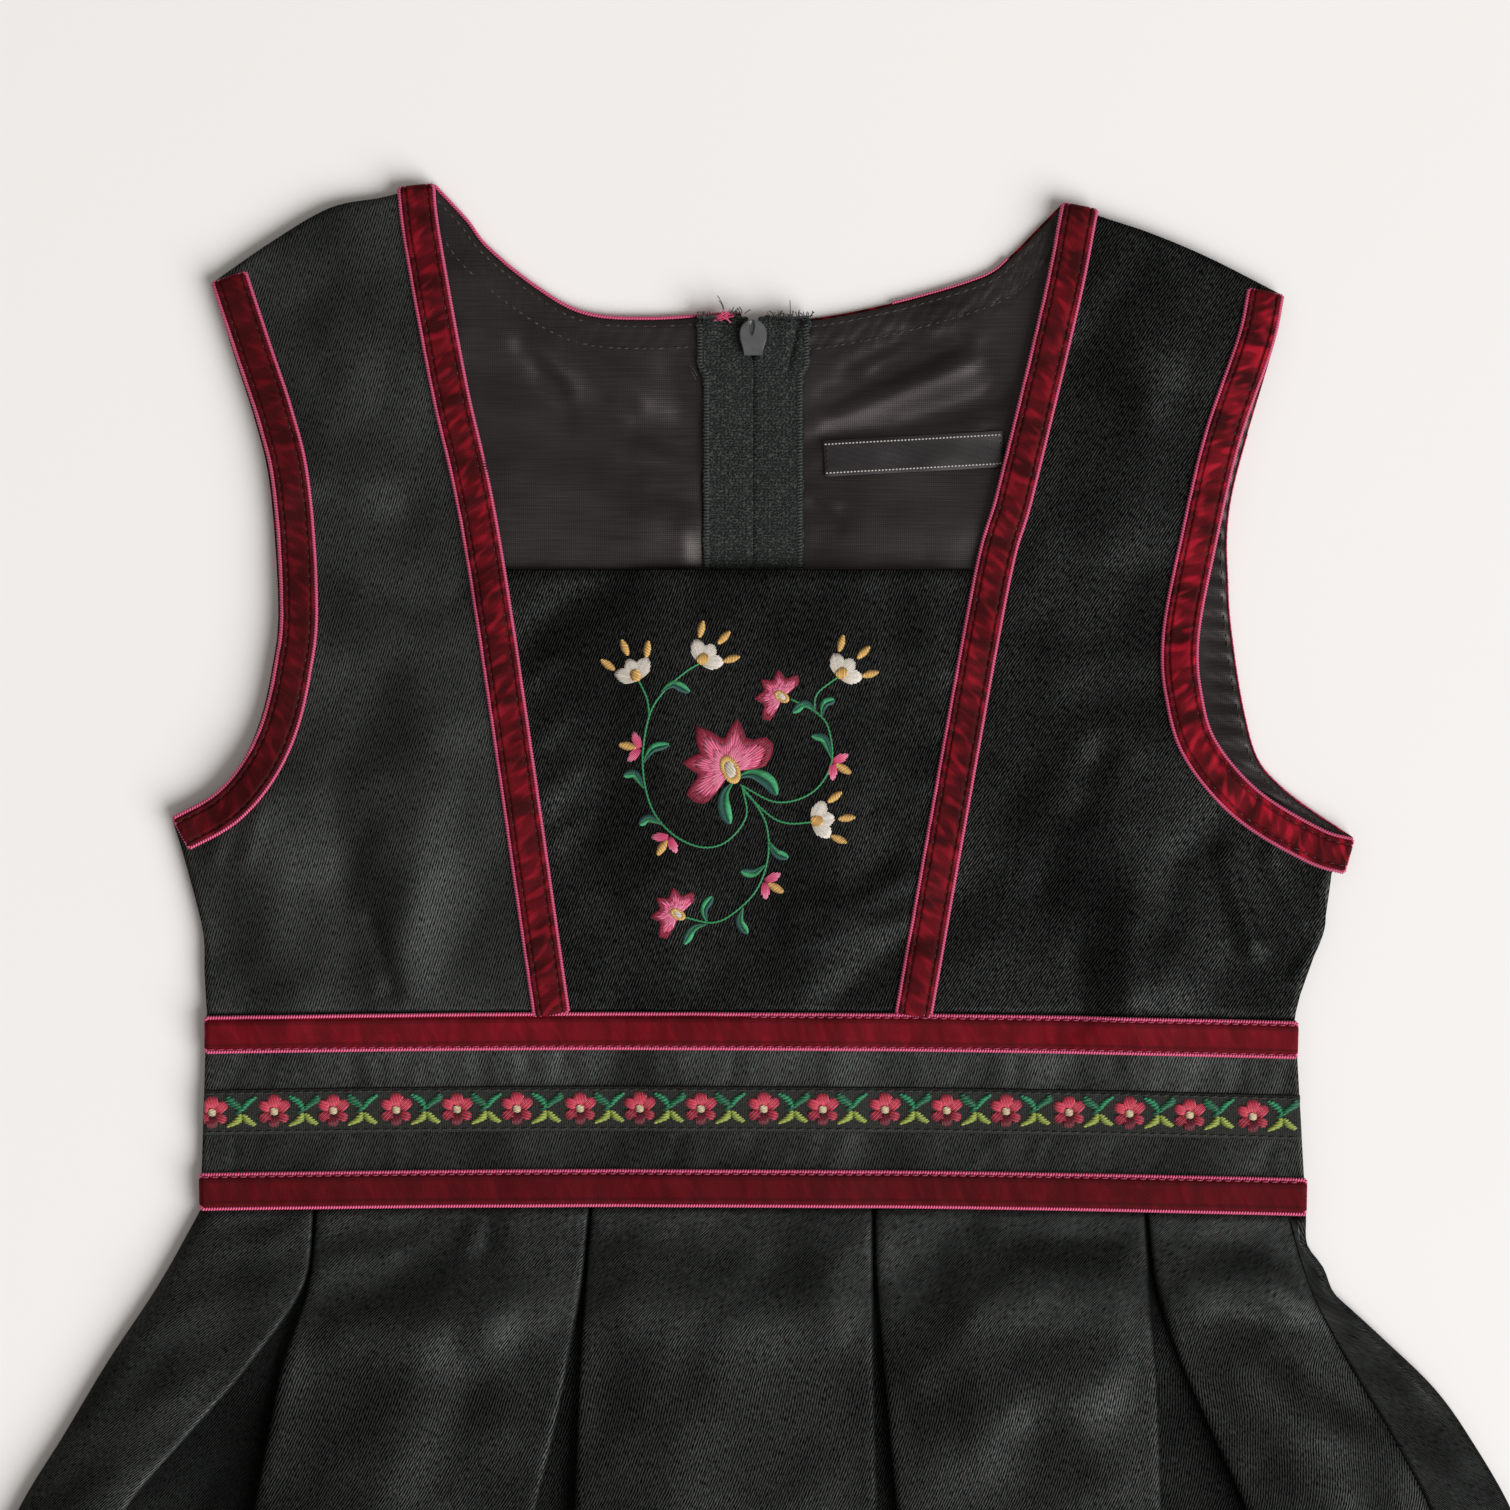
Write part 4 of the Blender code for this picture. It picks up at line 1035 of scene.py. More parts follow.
def tube(path, radius, sides, flat=1.0, twist=None):
    """Points, faces and weave of a closed tube along a path. Its radius may vary along and round."""
    along = np.gradient(path, axis=0)
    along /= np.linalg.norm(along, axis=1)[:, None] + 1e-12
    side = np.cross((0, 0, 1), along)
    side /= np.linalg.norm(side, axis=1)[:, None] + 1e-12
    up = np.cross(along, side)
    angle = np.arange(sides) * 2 * math.pi / sides
    run = run_lengths(path)
    reach_out = np.broadcast_to(np.asarray(radius, float).reshape(-1, 1), (len(path), sides))
    if twist:
        pitch, ridge = twist
        reach_out = reach_out * (1 + ridge * np.cos(run[:, None] * 2 * math.pi / pitch + angle))
    ring = (side[:, None] * np.cos(angle)[None, :, None]
            + up[:, None] * np.sin(angle)[None, :, None] * flat)
    points = (path[:, None] + ring * reach_out[..., None]).reshape(-1, 3)
    quads = grid_faces(len(path), sides, closed=True)[:, ::-1]
    last = (len(path) - 1) * sides
    faces = quads.tolist() + [list(range(sides))]
    faces.append(list(range(last + sides - 1, last - 1, -1)))
    weave = np.dstack(np.broadcast_arrays(angle[None] * 0.4, run[:, None])).reshape(-1, 2)
    return points, faces, weave


def stitch(bundle, start, end, width, rise, colour):
    """A strand that arches from one point to another."""
    t = np.linspace(0, 1, 4)
    path = start + (end - start) * t[:, None]
    path[:, 2] += rise * np.sin(math.pi * t) ** 0.6
    swell = width / 2 * (0.72 + 0.28 * np.sin(math.pi * t) ** 0.5)
    bundle.add(*tube(path, swell, 4), colour)


def dashes(bundle, line, length, gap, width, rise, colour):
    """A row of stitches along a line of points."""
    at = run_lengths(line)
    pitch = length + gap
    for k in range(int(at[-1] / pitch)):
        ends = [np.array([np.interp(s, at, column) for column in line.T])
                for s in (k * pitch + gap / 2, k * pitch + gap / 2 + length)]
        stitch(bundle, ends[0], ends[1], width, rise, colour)


print("a straight tube with 6 sides and 4 rings has",
      len(tube(np.outer(np.arange(4), (1, 0, 0)), 0.5, 6)[1]), "faces")

# %% Velvet ribbons of the front
PILE = 1.05             # how far the pile stands above its woven back
BACKING = 0.45
EDGE_IN = 0.3           # middle of the edge loops, in from the edge
CRUSH = 2.6             # from one crushed place of the pile to the next
ACROSS = np.array([0.0, 0.3, 0.6, 0.85, 1.15, 1.45, 1.7, 1.9, 2.1, 2.35, 2.7, 3.3, 4.1])
ACROSS = np.concatenate([ACROSS, [VELVET_WIDTH / 2], VELVET_WIDTH - ACROSS[::-1]])
random = np.random.default_rng(11)


def pile_profile(s, sewn):
    """Height of the pile across the ribbon, as a share."""
    edge = np.minimum(s, VELVET_WIDTH - s)
    shoulder = np.sqrt(np.clip(1 - (1 - np.clip((edge - 0.55) / 1.1, 0, 1)) ** 2, 0, 1))
    dip = 0.55 * np.exp(-((edge - sewn) / 0.3) ** 2)
    return shoulder - dip * shoulder


def velvet_ribbon(name, edge, side, surface, node, seed, finish, drop=None, sewn=STITCH_IN,
                  rows=((0, 0.0), (1, 0.0))):
    """A ribbon along an edge line, to its left for side 1, on a surface height. rows gives which
    edge each row of stitches follows, 0 for the line's own, and the share of the run it skips."""
    length = run_lengths(edge)[-1]
    edge = even_line(edge, int(length / 1.05))
    run = run_lengths(edge)
    lowered = np.zeros(len(run)) if drop is None else drop(run)
    grid = np.stack([beside(edge, side * s) for s in ACROSS], axis=1)
    base = surface(grid[..., 0], grid[..., 1]) - lowered[:, None]
    knots = np.arange(0, run[-1] + 4, CRUSH)
    crush = np.interp(run[:, None] + 0.5 * ACROSS[None], knots, random.uniform(-1, 1, len(knots)))
    pile = pile_profile(ACROSS, sewn)[None] * (1 + 0.16 * crush)
    near_stitch = np.exp(-((np.minimum(ACROSS, VELVET_WIDTH - ACROSS) - sewn) / 0.3) ** 2)
    pile += 0.16 * np.abs(np.sin(math.pi * run / CRUSH + seed))[:, None] * near_stitch
    low = np.dstack([grid, base])
    high = np.dstack([grid, base + BACKING + PILE * pile])
    weave = np.dstack(np.broadcast_arrays(ACROSS[None], run[:, None] + 37.0 * seed))
    if side > 0:
        low, high, weave = low[:, ::-1], high[:, ::-1], weave[:, ::-1]
    piece = shell(name, low, high, finish, weave)
    declare_cloth(piece, low, [node])

    def along(s, rise, count):
        flat = even_line(beside(edge, side * s), count)
        path = lifted(flat, surface, rise)
        share = run_lengths(flat) / run_lengths(flat)[-1]
        path[:, 2] -= np.interp(share * run[-1], run, lowered)
        return path

    loops, stitches = Bundle(), Bundle()
    for s in (EDGE_IN, VELVET_WIDTH - EDGE_IN):
        loops.add(*tube(along(s, 0.56, int(length / LOOP * 4)), 0.52, 5, twist=(LOOP, 0.3)))
    close = sewn < 1.4
    for far, skipped in rows:
        line = along(VELVET_WIDTH - sewn if far else sewn,
                     BACKING + (0.75 if close else 0.46) * PILE, int(length))
        # rows sewn further in are dyed dark wine, painted shade of the pile round them; rows near the edge
        # are pink
        dashes(stitches, line[int(skipped * length):], 1.6, 0.9, 0.36, 0.14,
               dye("b4305c") if close else dye("4a0d1c"))
    for end in (0, -1):
        across = np.linspace(EDGE_IN, VELVET_WIDTH - EDGE_IN, 26)
        path = lifted(np.array([beside(edge, side * s)[end] for s in across]), surface, 0.55)
        path[:, 2] -= lowered[end]
        loops.add(*tube(path, 0.5, 6, twist=(LOOP, 0.26)))
    trim(loops.build(name + "_loops", raspberry))
    trim(stitches.build(name + "_stitches", thread))
    return piece


def on_front(x, y):
    """Height of the upper face of the front, where trims lie."""
    return front_height(x, y) + SATIN / 2 + 0.1


def shoulder_drop(length):
    """The strap rolls over the shoulder in its last few millimetres."""
    return lambda run: 0.5 * np.clip(1 - (length - run) / 4.5, 0, 1) ** 2


for seed, (side, out) in enumerate(OUTWARDS.items()):
    line = smooth_line(NECK[side], 200)
    line[0, 1] = BAND_HEIGHT + SEAM + waist_dip(line[0, 0])
    velvet_ribbon("neck_ribbon_" + side + "_velvet", line, out, on_front, "neck_ribbon_" + side,
                  1 + seed, velvet_neck_shaded, shoulder_drop(run_lengths(line)[-1]))
    # the left armhole wears velvet painted in shade, the right one velvet painted lit
    line = smooth_line(ARMHOLE[side], 200)
    velvet_ribbon("armhole_ribbon_" + side + "_velvet", line, -out, on_front,
                  "armhole_ribbon_" + side, 3 + seed, (velvet_dim, velvet)[seed],
                  shoulder_drop(run_lengths(line)[-1]))
print("velvet round neck and armholes")

# %% [markdown]
# ## The waistband
# The band is one strip of satin with three ribbons on it: velvet above and below, and a woven
# ribbon with flowers between. The sewing pulls the satin between them into small puckers.

# %% Waistband with puckers
def band_ends(y):
    share = y / BAND_HEIGHT
    return -146.3 + 1.6 * share, 145.4 - 2.9 * share


def band_grid(low, high, across, up, start=None, end=None):
    """A flat grid of a band across the waist, between two heights."""
    rows = []
    for y in np.linspace(low, high, up + 1):
        left, right = band_ends(y)
        rows.append(waist_line(left if start is None else start, right if end is None else end,
                               y, across))
    return np.array(rows)


BARE_STRIPS = ((10.4, 19.8), (32.2, 41.4))      # of the satin, between the three ribbons


def pucker_table():
    """Short slanting puckers in the two bare strips of the band, where chance puts them."""
    table = []
    for low, high in BARE_STRIPS:
        x = -143.0
        while x < 141:
            lean = random.uniform(-3.0, 3.5)
            y = random.uniform(low, low + 2.5)
            top = min(y + random.uniform(4, 8), high)
            table.append(((x, y + waist_dip(x)), (x + lean, top + waist_dip(x)),
                          random.uniform(1.4, 2.8), random.uniform(-0.3, 0.3)))
            x += random.uniform(3.2, 6.5)
    return table


PUCKERS = pucker_table()
BAND_HOLLOW = 1.5       # how far the middle of the band lies below its two velvet ribbons


def band_middle(x, y):
    """Middle height of the band, hollow between its velvet ribbons but flat at both sides."""
    away = np.clip((y - BAND_HEIGHT / 2 - waist_dip(x)) / 16.0, -1, 1)
    deep = BAND_HOLLOW * ease((SIDE_LOFT_X - np.abs(x)) / SIDE_LOFT_RUN)
    return front_height(x, y) + deep * (away ** 2 - 1)


def band_height(x, y):
    return band_middle(x, y) + folds(x, y, PUCKERS)


def on_band(x, y):
    return band_middle(x, y) + SATIN / 2 + 0.1


grid = raised(band_grid(SEAM, BAND_HEIGHT, 320, 46), band_height)
piece = cloth_wall("waistband_front_satin", grid, SATIN, satin, twill(grid, 71))
declare_cloth(piece, grid, ["waistband_front"], rests_on=["waistband_back_left"])
for side, ends in (("left", dict(end=ZIP_X - SEAM / 2)), ("right", dict(start=ZIP_X + SEAM / 2))):
    grid = raised(band_grid(SEAM, BAND_HEIGHT, 40, 8, **ends), LAYER + ON_FLOOR)
    piece = cloth_wall("waistband_back_" + side + "_satin", grid, SATIN, satin, twill(grid, 74))
    declare_cloth(piece, grid, ["waistband_back_" + side])

# the lower waist ribbon wears velvet painted darker than the upper one's, painted shade
for seed, (name, y, finish, rows) in enumerate((
        ("lower_ribbon", LOWER_VELVET_Y, velvet_low_shaded, ((1, 0.0),)),
        ("upper_ribbon", UPPER_VELVET_Y, velvet_smooth, ((0, 0.0), (1, 0.5))))):
    left, right = band_ends(y + VELVET_WIDTH / 2)
    velvet_ribbon(name + "_front_velvet", waist_line(left, right, y, 250), 1, on_front,
                  name + "_front", 6 + seed, finish, sewn=0.95, rows=rows)
print("waistband with", len(PUCKERS), "puckers")

# %% [markdown]
# ## Woven flowers
# On a loom the flowers of a ribbon are built from weft threads that float to the face, all lying
# one way, so every petal has a stepped edge. Each petal below is filled with level strands, and
# each leaf with slanted ones. A flower and a sprig of four leaves repeat all along.

# %% Filling shapes with strands
WEFT_ENDS = (-145.4, 144.0)     # no strand passes these, the two ends of the waistband


def filled(bundle, centre, length, width, turn, lean, pitch, surface, colours, rise, blunt=0.7):
    """An oval filled with parallel strands. turn is the oval's own direction, lean the strands'."""
    c, s = math.cos(turn), math.sin(turn)
    direction = np.array([math.cos(lean), math.sin(lean)])
    step = np.array([-direction[1], direction[0]])
    a, b = length / 2, width / 2

    def inside(p):
        """Whether a point, measured from the centre, lies in the oval."""
        x, y = p[0] * c + p[1] * s, -p[0] * s + p[1] * c
        return abs(x / a) ** (2 / blunt) + abs(y / b) ** (2 / blunt) < 1

    reach_out = max(a, b)
    count = int(2 * reach_out / pitch) + 1
    shares = np.linspace(-reach_out, reach_out, 41)
    for k in range(count + 1):
        offset = (k - count / 2) * pitch
        hits = [t for t in shares if inside(direction * t + step * offset)]
        if len(hits) < 3:
            continue
        ends = [np.array(centre) + direction * t + step * offset
                for t in (hits[0] - 0.1, hits[-1] + 0.1)]
        ends = [np.array([np.clip(p[0], *WEFT_ENDS), p[1], surface(p[0], p[1])]) for p in ends]
        colour = np.array(colours[k % len(colours)]) * random.uniform(0.85, 1.12)
        if np.linalg.norm(ends[1] - ends[0]) > 0.3:
            stitch(bundle, ends[0], ends[1], pitch * 1.4, rise, colour)


RED, RED_LIGHT = dye("d23450"), dye("e4566c")
WINE, WINE_LIGHT = dye("5c0b1d"), dye("861a30")
CREAM, GOLD_PALE, GOLD = dye("f0e2c4"), dye("dfc99a"), dye("dca548")
EMERALD, EMERALD_DEEP, EMERALD_LIGHT = dye("0f7d50"), dye("0b5a3b"), dye("1fa06c")
LEAF, LEAF_LIGHT = dye("8fa23a"), dye("b4c45c")
FLOWER_PITCH = 16.15
FLOWER_START = -143.4


def woven_flower(bundle, x, y, surface, seed):
    """Six petals round a cream middle, the lowest one wine red and its neighbours streaked with it."""
    tall = 4.0 if seed % 2 else 3.5
    petals = ((90, 2.5, tall, 3.5, (RED, RED_LIGHT)), (30, 2.75, 3.5, 2.7, (RED_LIGHT, RED)),
              (150, 2.75, 3.5, 2.7, (RED, RED_LIGHT)), (-32, 2.7, 3.2, 2.4, (RED, WINE_LIGHT)),
              (212, 2.7, 3.2, 2.4, (RED, WINE_LIGHT)), (-90, 2.6, 3.0, 2.8, (WINE, WINE_LIGHT)))
    for angle, out, long, wide, colours in petals:
        a = math.radians(angle)
        place = (x + out * math.cos(a), y + out * math.sin(a))
        filled(bundle, place, long, wide, a, a + 0.25, 0.36, surface, colours, 0.34, blunt=0.8)
    filled(bundle, (x, y), 2.0, 1.8, 0.0, 0.3, 0.32, lambda a, b: surface(a, b) + 0.22,
           (CREAM, GOLD_PALE), 0.3)


# Leaves of a sprig: bent line from the middle, greatest thickness, and colours
SPRIG = (
    (((-0.1, 0.2), (-1.0, 1.4), (-2.7, 2.6), (-3.5, 4.0)), 2.9, (EMERALD_DEEP, EMERALD)),
    (((0.0, 0.3), (0.8, 1.6), (1.9, 2.9), (3.5, 4.0)), 1.9, (EMERALD, EMERALD_LIGHT)),
    (((-0.2, -0.3), (-0.9, -1.6), (-1.6, -2.6), (-3.4, -3.6)), 2.6, (LEAF, LEAF_LIGHT)),
    (((0.3, -0.4), (1.0, -1.4), (1.9, -2.5), (3.2, -3.3)), 2.0, (LEAF_LIGHT, LEAF)),
)


def woven_sprig(bundle, x, y, surface, seed):
    """Two emerald leaves above and two yellow-green ones below, stepped as a loom steps them."""
    for number, (line, thick, colours) in enumerate(SPRIG):
        if seed % 2 and number < 2:
            line = [(-a, b) for a, b in line]
        points = smooth_line(line, 11)
        for k, point in enumerate(points[1:], 1):
            share = k / (len(points) - 1)
            half = thick / 2 * (0.4 + 0.65 * math.sin(math.pi * share ** 1.5) ** 0.8)
            step = 0.14 * (-1) ** k
            ends = []
            for side in (-1, 1):
                place = (x + point[0] + side * half + step, y + point[1] + side * 0.12)
                ends.append(np.array([min(place[0], WEFT_ENDS[1]), place[1], surface(*place)]))
            colour = np.array(colours[k % len(colours)]) * random.uniform(0.85, 1.1)
            stitch(bundle, ends[0], ends[1], 0.66, 0.34, colour)
    filled(bundle, (x - 1.0, y - 0.1), 1.8, 0.9, 0.0, 0.0, 0.4, surface, (EMERALD_DEEP,), 0.25)


def flower_surface(x, y):
    return on_band(x, y) + 0.62


left, right = band_ends(FLOWER_RIBBON_Y)
flat = band_grid(FLOWER_RIBBON_Y, FLOWER_RIBBON_Y + FLOWER_RIBBON_WIDTH, 260, 12)
low = raised(flat, on_band)
swell = 0.55 + 0.12 * np.sin(np.linspace(0, math.pi, flat.shape[0]))[:, None] ** 0.4
piece = shell("flower_ribbon_front_woven", low, raised(flat, low[..., 2] + swell), ribbon_ground)
declare_cloth(piece, low, ["flower_ribbon_front"])

weft = Bundle()
middle = FLOWER_RIBBON_Y + FLOWER_RIBBON_WIDTH / 2
for k in range(18):
    x = FLOWER_START + FLOWER_PITCH * k + 0.3 * math.sin(2.3 * k)
    if x < right - 4:
        woven_flower(weft, x, middle + waist_dip(x) + 0.1, flower_surface, k)
    if x + 10 < right:
        woven_sprig(weft, x + 7.9, middle + waist_dip(x) + 0.1, flower_surface, k)
trim(weft.build("flower_ribbon_weft", thread))

seam_rows = Bundle()
for inset in (0.7, FLOWER_RIBBON_WIDTH - 0.7):
    path = waist_line(left + 0.5, right - 0.5, FLOWER_RIBBON_Y + inset, 300)
    path = lifted(path, flower_surface, 0.02)
    dashes(seam_rows, path, 2.1, 0.5, 0.42, 0.16, dye("101211"))
trim(seam_rows.build("flower_ribbon_stitches", thread))
print("weft strands:", len(weft.points))

# %% [markdown]
# ## The skirt
# Four inverted box pleats open downwards. The front is one long strip of cloth: its section at a
# given depth runs along each panel, round the fold, under it, round the hidden fold and along the
# backing. Sections at many depths, one below the other, give the whole wall.

# %% Section of the pleated front
DIP_DEPTH = 60          # this far down the skirt the dip of the waist is gone


def skirt_place(x, depth):
    """Where points of the skirt lie in plan: the rows curve up towards the ends of the hem."""
    rise = HEM_RISE * (x / HEM_HALF_WIDTH) ** 2 * (depth / SKIRT_LENGTH) ** 2
    return np.column_stack([x, waist_dip(x) * ease(1 - depth / DIP_DEPTH) - depth + rise])


def opened(sizes, depth):
    return sizes[0] + (sizes[1] - sizes[0]) * ease(depth / OPEN_DEPTH)


# Small creases of the skirt, mostly below its waist seam
SKIRT_FINE_FOLDS = (
    ((-143, -10), (-128, -8), 3.5, 0.8),
    ((-141, -4), (-126, -3), 2.5, -0.5),
    ((-160, -52), (-134, -36), 5.0, 0.6),
    ((-114, -6), (-92, -4), 3.0, -0.6),
    ((-114, -13), (-96, -12), 3.0, 0.8),
    ((-74, -4), (-76, -12), 1.6, 0.7),
    ((-70, -3), (-71, -12), 1.6, -0.6),
    ((-66, -3), (-62, -14), 2.6, 0.6),
    ((-60, -16), (-66, -34), 5.0, -0.4),
    ((-84, -52), (-104, -80), 6.0, 0.5),
    ((-38, -6), (-22, -7), 4.0, -0.6),
    ((-34, -16), (-28, -44), 8.0, 0.4),
    ((6, -12), (4, -60), 8.0, -0.5),
    ((14, -6), (22, -30), 6.0, 0.5),
    ((40, -10), (48, -34), 9.0, -0.9),
    ((70, -5), (98, -7), 3.5, -0.9),
    ((62, -5), (66, -12), 2.5, 0.6),
    ((68, -15), (88, -16), 3.0, 0.6),
    ((72, -58), (84, -66), 6.0, -0.7),
    ((84, -52), (94, -72), 5.0, 0.5),
    ((108, -6), (136, -9), 3.5, -0.7),
    ((136, -34), (158, -46), 3.0, 0.5),
    ((150, -56), (172, -66), 6.0, 0.5),
    ((128, -60), (146, -78), 6.0, -0.5),
)
# Broad swells that stand up below the waist seam, and along the panels
SKIRT_SWELLS = (
    ((-160, -30), (-148, -27), (-136, -26), 9, 1.5),
    ((-125, -26), (-127, -38), (-134, -54), 7, 2.2),
    ((-108, -31), (-90, -30), (-78, -24), (-70, -30), 9, 2.2),
    ((-64, -20), (-58, -26), (-52, -36), 8, 1.0),
    ((-34, -26), (-16, -24), (4, -27), (18, -24), 10, 1.4),
    ((42, -42), (58, -24), (78, -21), (96, -20), 8, 2.0),
    ((60, -62), (70, -50), (88, -47), 8, 1.2),
    ((112, -22), (126, -20), (140, -24), 7, 1.7),
    ((-100, -86), (-84, -66), (-72, -58), 10, 1.2),
    ((-24, -60), (-22, -110), 12, 0.8),
    ((84, -66), (92, -110), 12, 1.0),
    ((-170, -70), (-190, -106), 12, 1.0),
    ((128, -44), (150, -74), 9, 1.2),
)
FOLD_RISE, CREASE_RISE, SWELL_RISE = 1.4, 1.3, 1.25     # on the skirt front the rises times these


def crease_relief(x, y):
    return CREASE_RISE * folds(x, y, SKIRT_FINE_FOLDS) + SWELL_RISE * folds(x, y, SKIRT_SWELLS)


skirt_folds = Relief(lambda x, y: FOLD_RISE * folds(x, y, FOLDS), (-300, -390), (300, 2), 1.5)
skirt_creases = Relief(crease_relief, (-210, -130), (210, 2))
PANEL_STEPS = (14, 34, 38, 34, 24)
FOLD_ARC = np.linspace(0, math.pi, 7)


def panel_height(x, space, depth):
    """Middle height of the top layer, which comes down towards both sides of the skirt."""
    top = LAYER + ON_FLOOR + 2 * space
    left = at_depth(LEFT_EDGE, depth) + opened(EDGE_ROUND, depth)
    seam = at_depth(SIDE_SEAM, depth)
    height = top - (space - LAYER) * (1 - ease((x - left) / SEAM_RUN[1]))
    return height - (top - 2 * LAYER - ON_FLOOR) * (1 - ease((seam - x) / opened(SEAM_RUN, depth)))


def skirt_panel(start, end, steps, space, depth):
    """Points (x, z) along a panel of the skirt, with its soft folds, and the lift at both ends."""
    share = np.linspace(0, 1, steps + 1)
    x = start + (end - start) * share
    smooth = panel_height(x, space, depth)
    smooth = smooth + PANEL_RISE * np.sin(math.pi * share) * ease(depth / 120)
    place = skirt_place(x, depth)
    lift = skirt_folds(place[:, 0], place[:, 1]) * ease(depth / 30)
    lift += skirt_creases(place[:, 0], place[:, 1]) * ease(depth / 6)
    near = ease(np.minimum(x - start, end - x) / 9)
    lowest = np.minimum(smooth, LAYER + ON_FLOOR + space + LAYER * 0.75)
    lift = lift * near + np.maximum(lift, 0) * (1 - near) * 0.6
    return np.column_stack([x, np.maximum(smooth + lift, lowest)])


def fold_round(x, low, high, side):
    """A fold from one height to another, round to the right for side 1."""
    turn = (high - low) / 2
    return np.column_stack([x + side * abs(turn) * (np.sin(FOLD_ARC) - 1),
                            low + turn - turn * np.cos(FOLD_ARC)])


def pleated_section(depth):
    """Across the front of the skirt: (x, z, share hidden, also its painted shade) from its left edge to the
    side seam.
    """
    space = LAYER * (1 + SKIRT_LOFT * ease(depth / SKIRT_LOFT_DEPTH))
    base = LAYER + ON_FLOOR
    middle, top = base + space, base + 2 * space
    left, across = at_depth(LEFT_EDGE, depth), opened(EDGE_ROUND, depth)
    a = np.linspace(0, math.pi / 2, 7)[:-1]
    parts = [np.column_stack([left + across * (1 - np.cos(a)),
                              base + (middle + LAYER - base) * np.sin(a)])]
    hidden = [np.zeros(len(a))]
    start = left + across
    round_edge = np.array([0, 0, 0.1, 0.35, 0.7, 0.9, 1.0])
    for steps, pleat in zip(PANEL_STEPS, PLEATS):
        fold_left, fold_right = at_depth(pleat["left"], depth), at_depth(pleat["right"], depth)
        deep = pleat["deep"] - (fold_right - fold_left) / 4
        turn = space / 2
        panel = skirt_panel(start, fold_left - turn, steps, space, depth)
        hidden_left, hidden_right = fold_left - deep, fold_right + deep
        under = np.linspace(hidden_left, hidden_right, 9)[1:-1]
        bed = np.column_stack([under, np.full(len(under), base)])
        # painted shadow across the bed of each pleat, darker towards its right fold
        shade = ease((bed[:, 0] - fold_left) / (fold_right - fold_left + 2.0)) * 0.45 + 0.5
        parts += [panel[:-1], fold_round(fold_left, panel[-1, 1], middle, 1),
                  fold_round(hidden_left, middle, base, -1)[::2], bed,
                  fold_round(hidden_right, base, middle, 1)[::2]]
        start = fold_right + turn
        panel_end = skirt_panel(start, start + 40, 20, space, depth)[0, 1]
        parts.append(fold_round(fold_right, middle, panel_end, -1)[:-1])
        hidden += [np.zeros(steps), round_edge, np.ones(4), shade, np.ones(4), round_edge[:0:-1]]
    seam = at_depth(SIDE_SEAM, depth) - SEAM / 2
    parts.append(skirt_panel(start, seam, PANEL_STEPS[-1], space, depth))
    hidden.append(np.zeros(PANEL_STEPS[-1] + 1))
    return np.column_stack([np.vstack(parts), np.concatenate(hidden)])


SKIRT_DEPTHS = np.concatenate([np.linspace(0, 96, 49), np.linspace(100, SKIRT_LENGTH, 62)])[::-1]


def skirt_grid(section):
    """Rows of points from a function of depth that gives a section."""
    rows = []
    for depth in SKIRT_DEPTHS:
        points = section(depth)
        rows.append(np.column_stack([skirt_place(points[:, 0], depth), points[:, 1]]))
    return np.array(rows)


print("steps across each panel between the pleats:", PANEL_STEPS)

# %% Front and back of the skirt
grid = skirt_grid(pleated_section)
# painted shade inside the pleats, lighter towards the hem, stored as the inside attribute
inside = np.array([pleated_section(depth)[:, 2] * (1 - 0.7 * ease((depth - 85) / 150))
                   for depth in SKIRT_DEPTHS]).ravel()
piece = cloth_wall("skirt_front_satin", grid, SATIN, satin_skirt_shaded, twill(measured_weave(grid), 66))
rim = rim_of(*grid.shape[:2])
stored = piece.data.attributes.new("inside", "FLOAT", "POINT")
stored.data.foreach_set("value", np.concatenate([inside, inside, inside[rim]]).astype(np.float32))
declare_cloth(piece, grid, ["skirt_front"], rests_on=["skirt_back_left"])
print("skirt front:", grid.shape, "points, cut to", cut_sizes[piece.name])

HEM = 18.0              # turned up and sewn
hem_row = np.array(pleated_section(SKIRT_LENGTH - HEM))
plan = skirt_place(hem_row[:, 0], SKIRT_LENGTH - HEM)
hem_sewing = Bundle()
open_parts = np.split(np.arange(len(hem_row)), np.flatnonzero(np.diff(hem_row[:, 2] > 0)) + 1)
for part in open_parts:
    if len(part) > 12 and hem_row[part, 2].max() == 0:
        row = np.column_stack([plan[part], hem_row[part, 1] + SATIN / 2 + 0.02])
        dashes(hem_sewing, even_line(row, 200), 2.2, 0.7, 0.34, 0.14, dye("2a2b2a"))
trim(hem_sewing.build("skirt_hem_stitches", thread))


RIGHT_EDGE_FOLDS = (
    ((146, -4), (152, -12), 3.0, 1.0),
    ((148, -16), (158, -24), 3.0, -0.5),
    ((152, -18), (164, -28), 3.5, 1.2),
    ((160, -34), (176, -46), 4.0, 1.0),
    ((172, -44), (186, -66), 5.0, 0.8),
)


def back_left_section(depth):
    x = np.linspace(at_depth(LEFT_EDGE, depth), ZIP_X - SEAM / 2, 40)
    return np.column_stack([x, np.full(len(x), ON_FLOOR)])


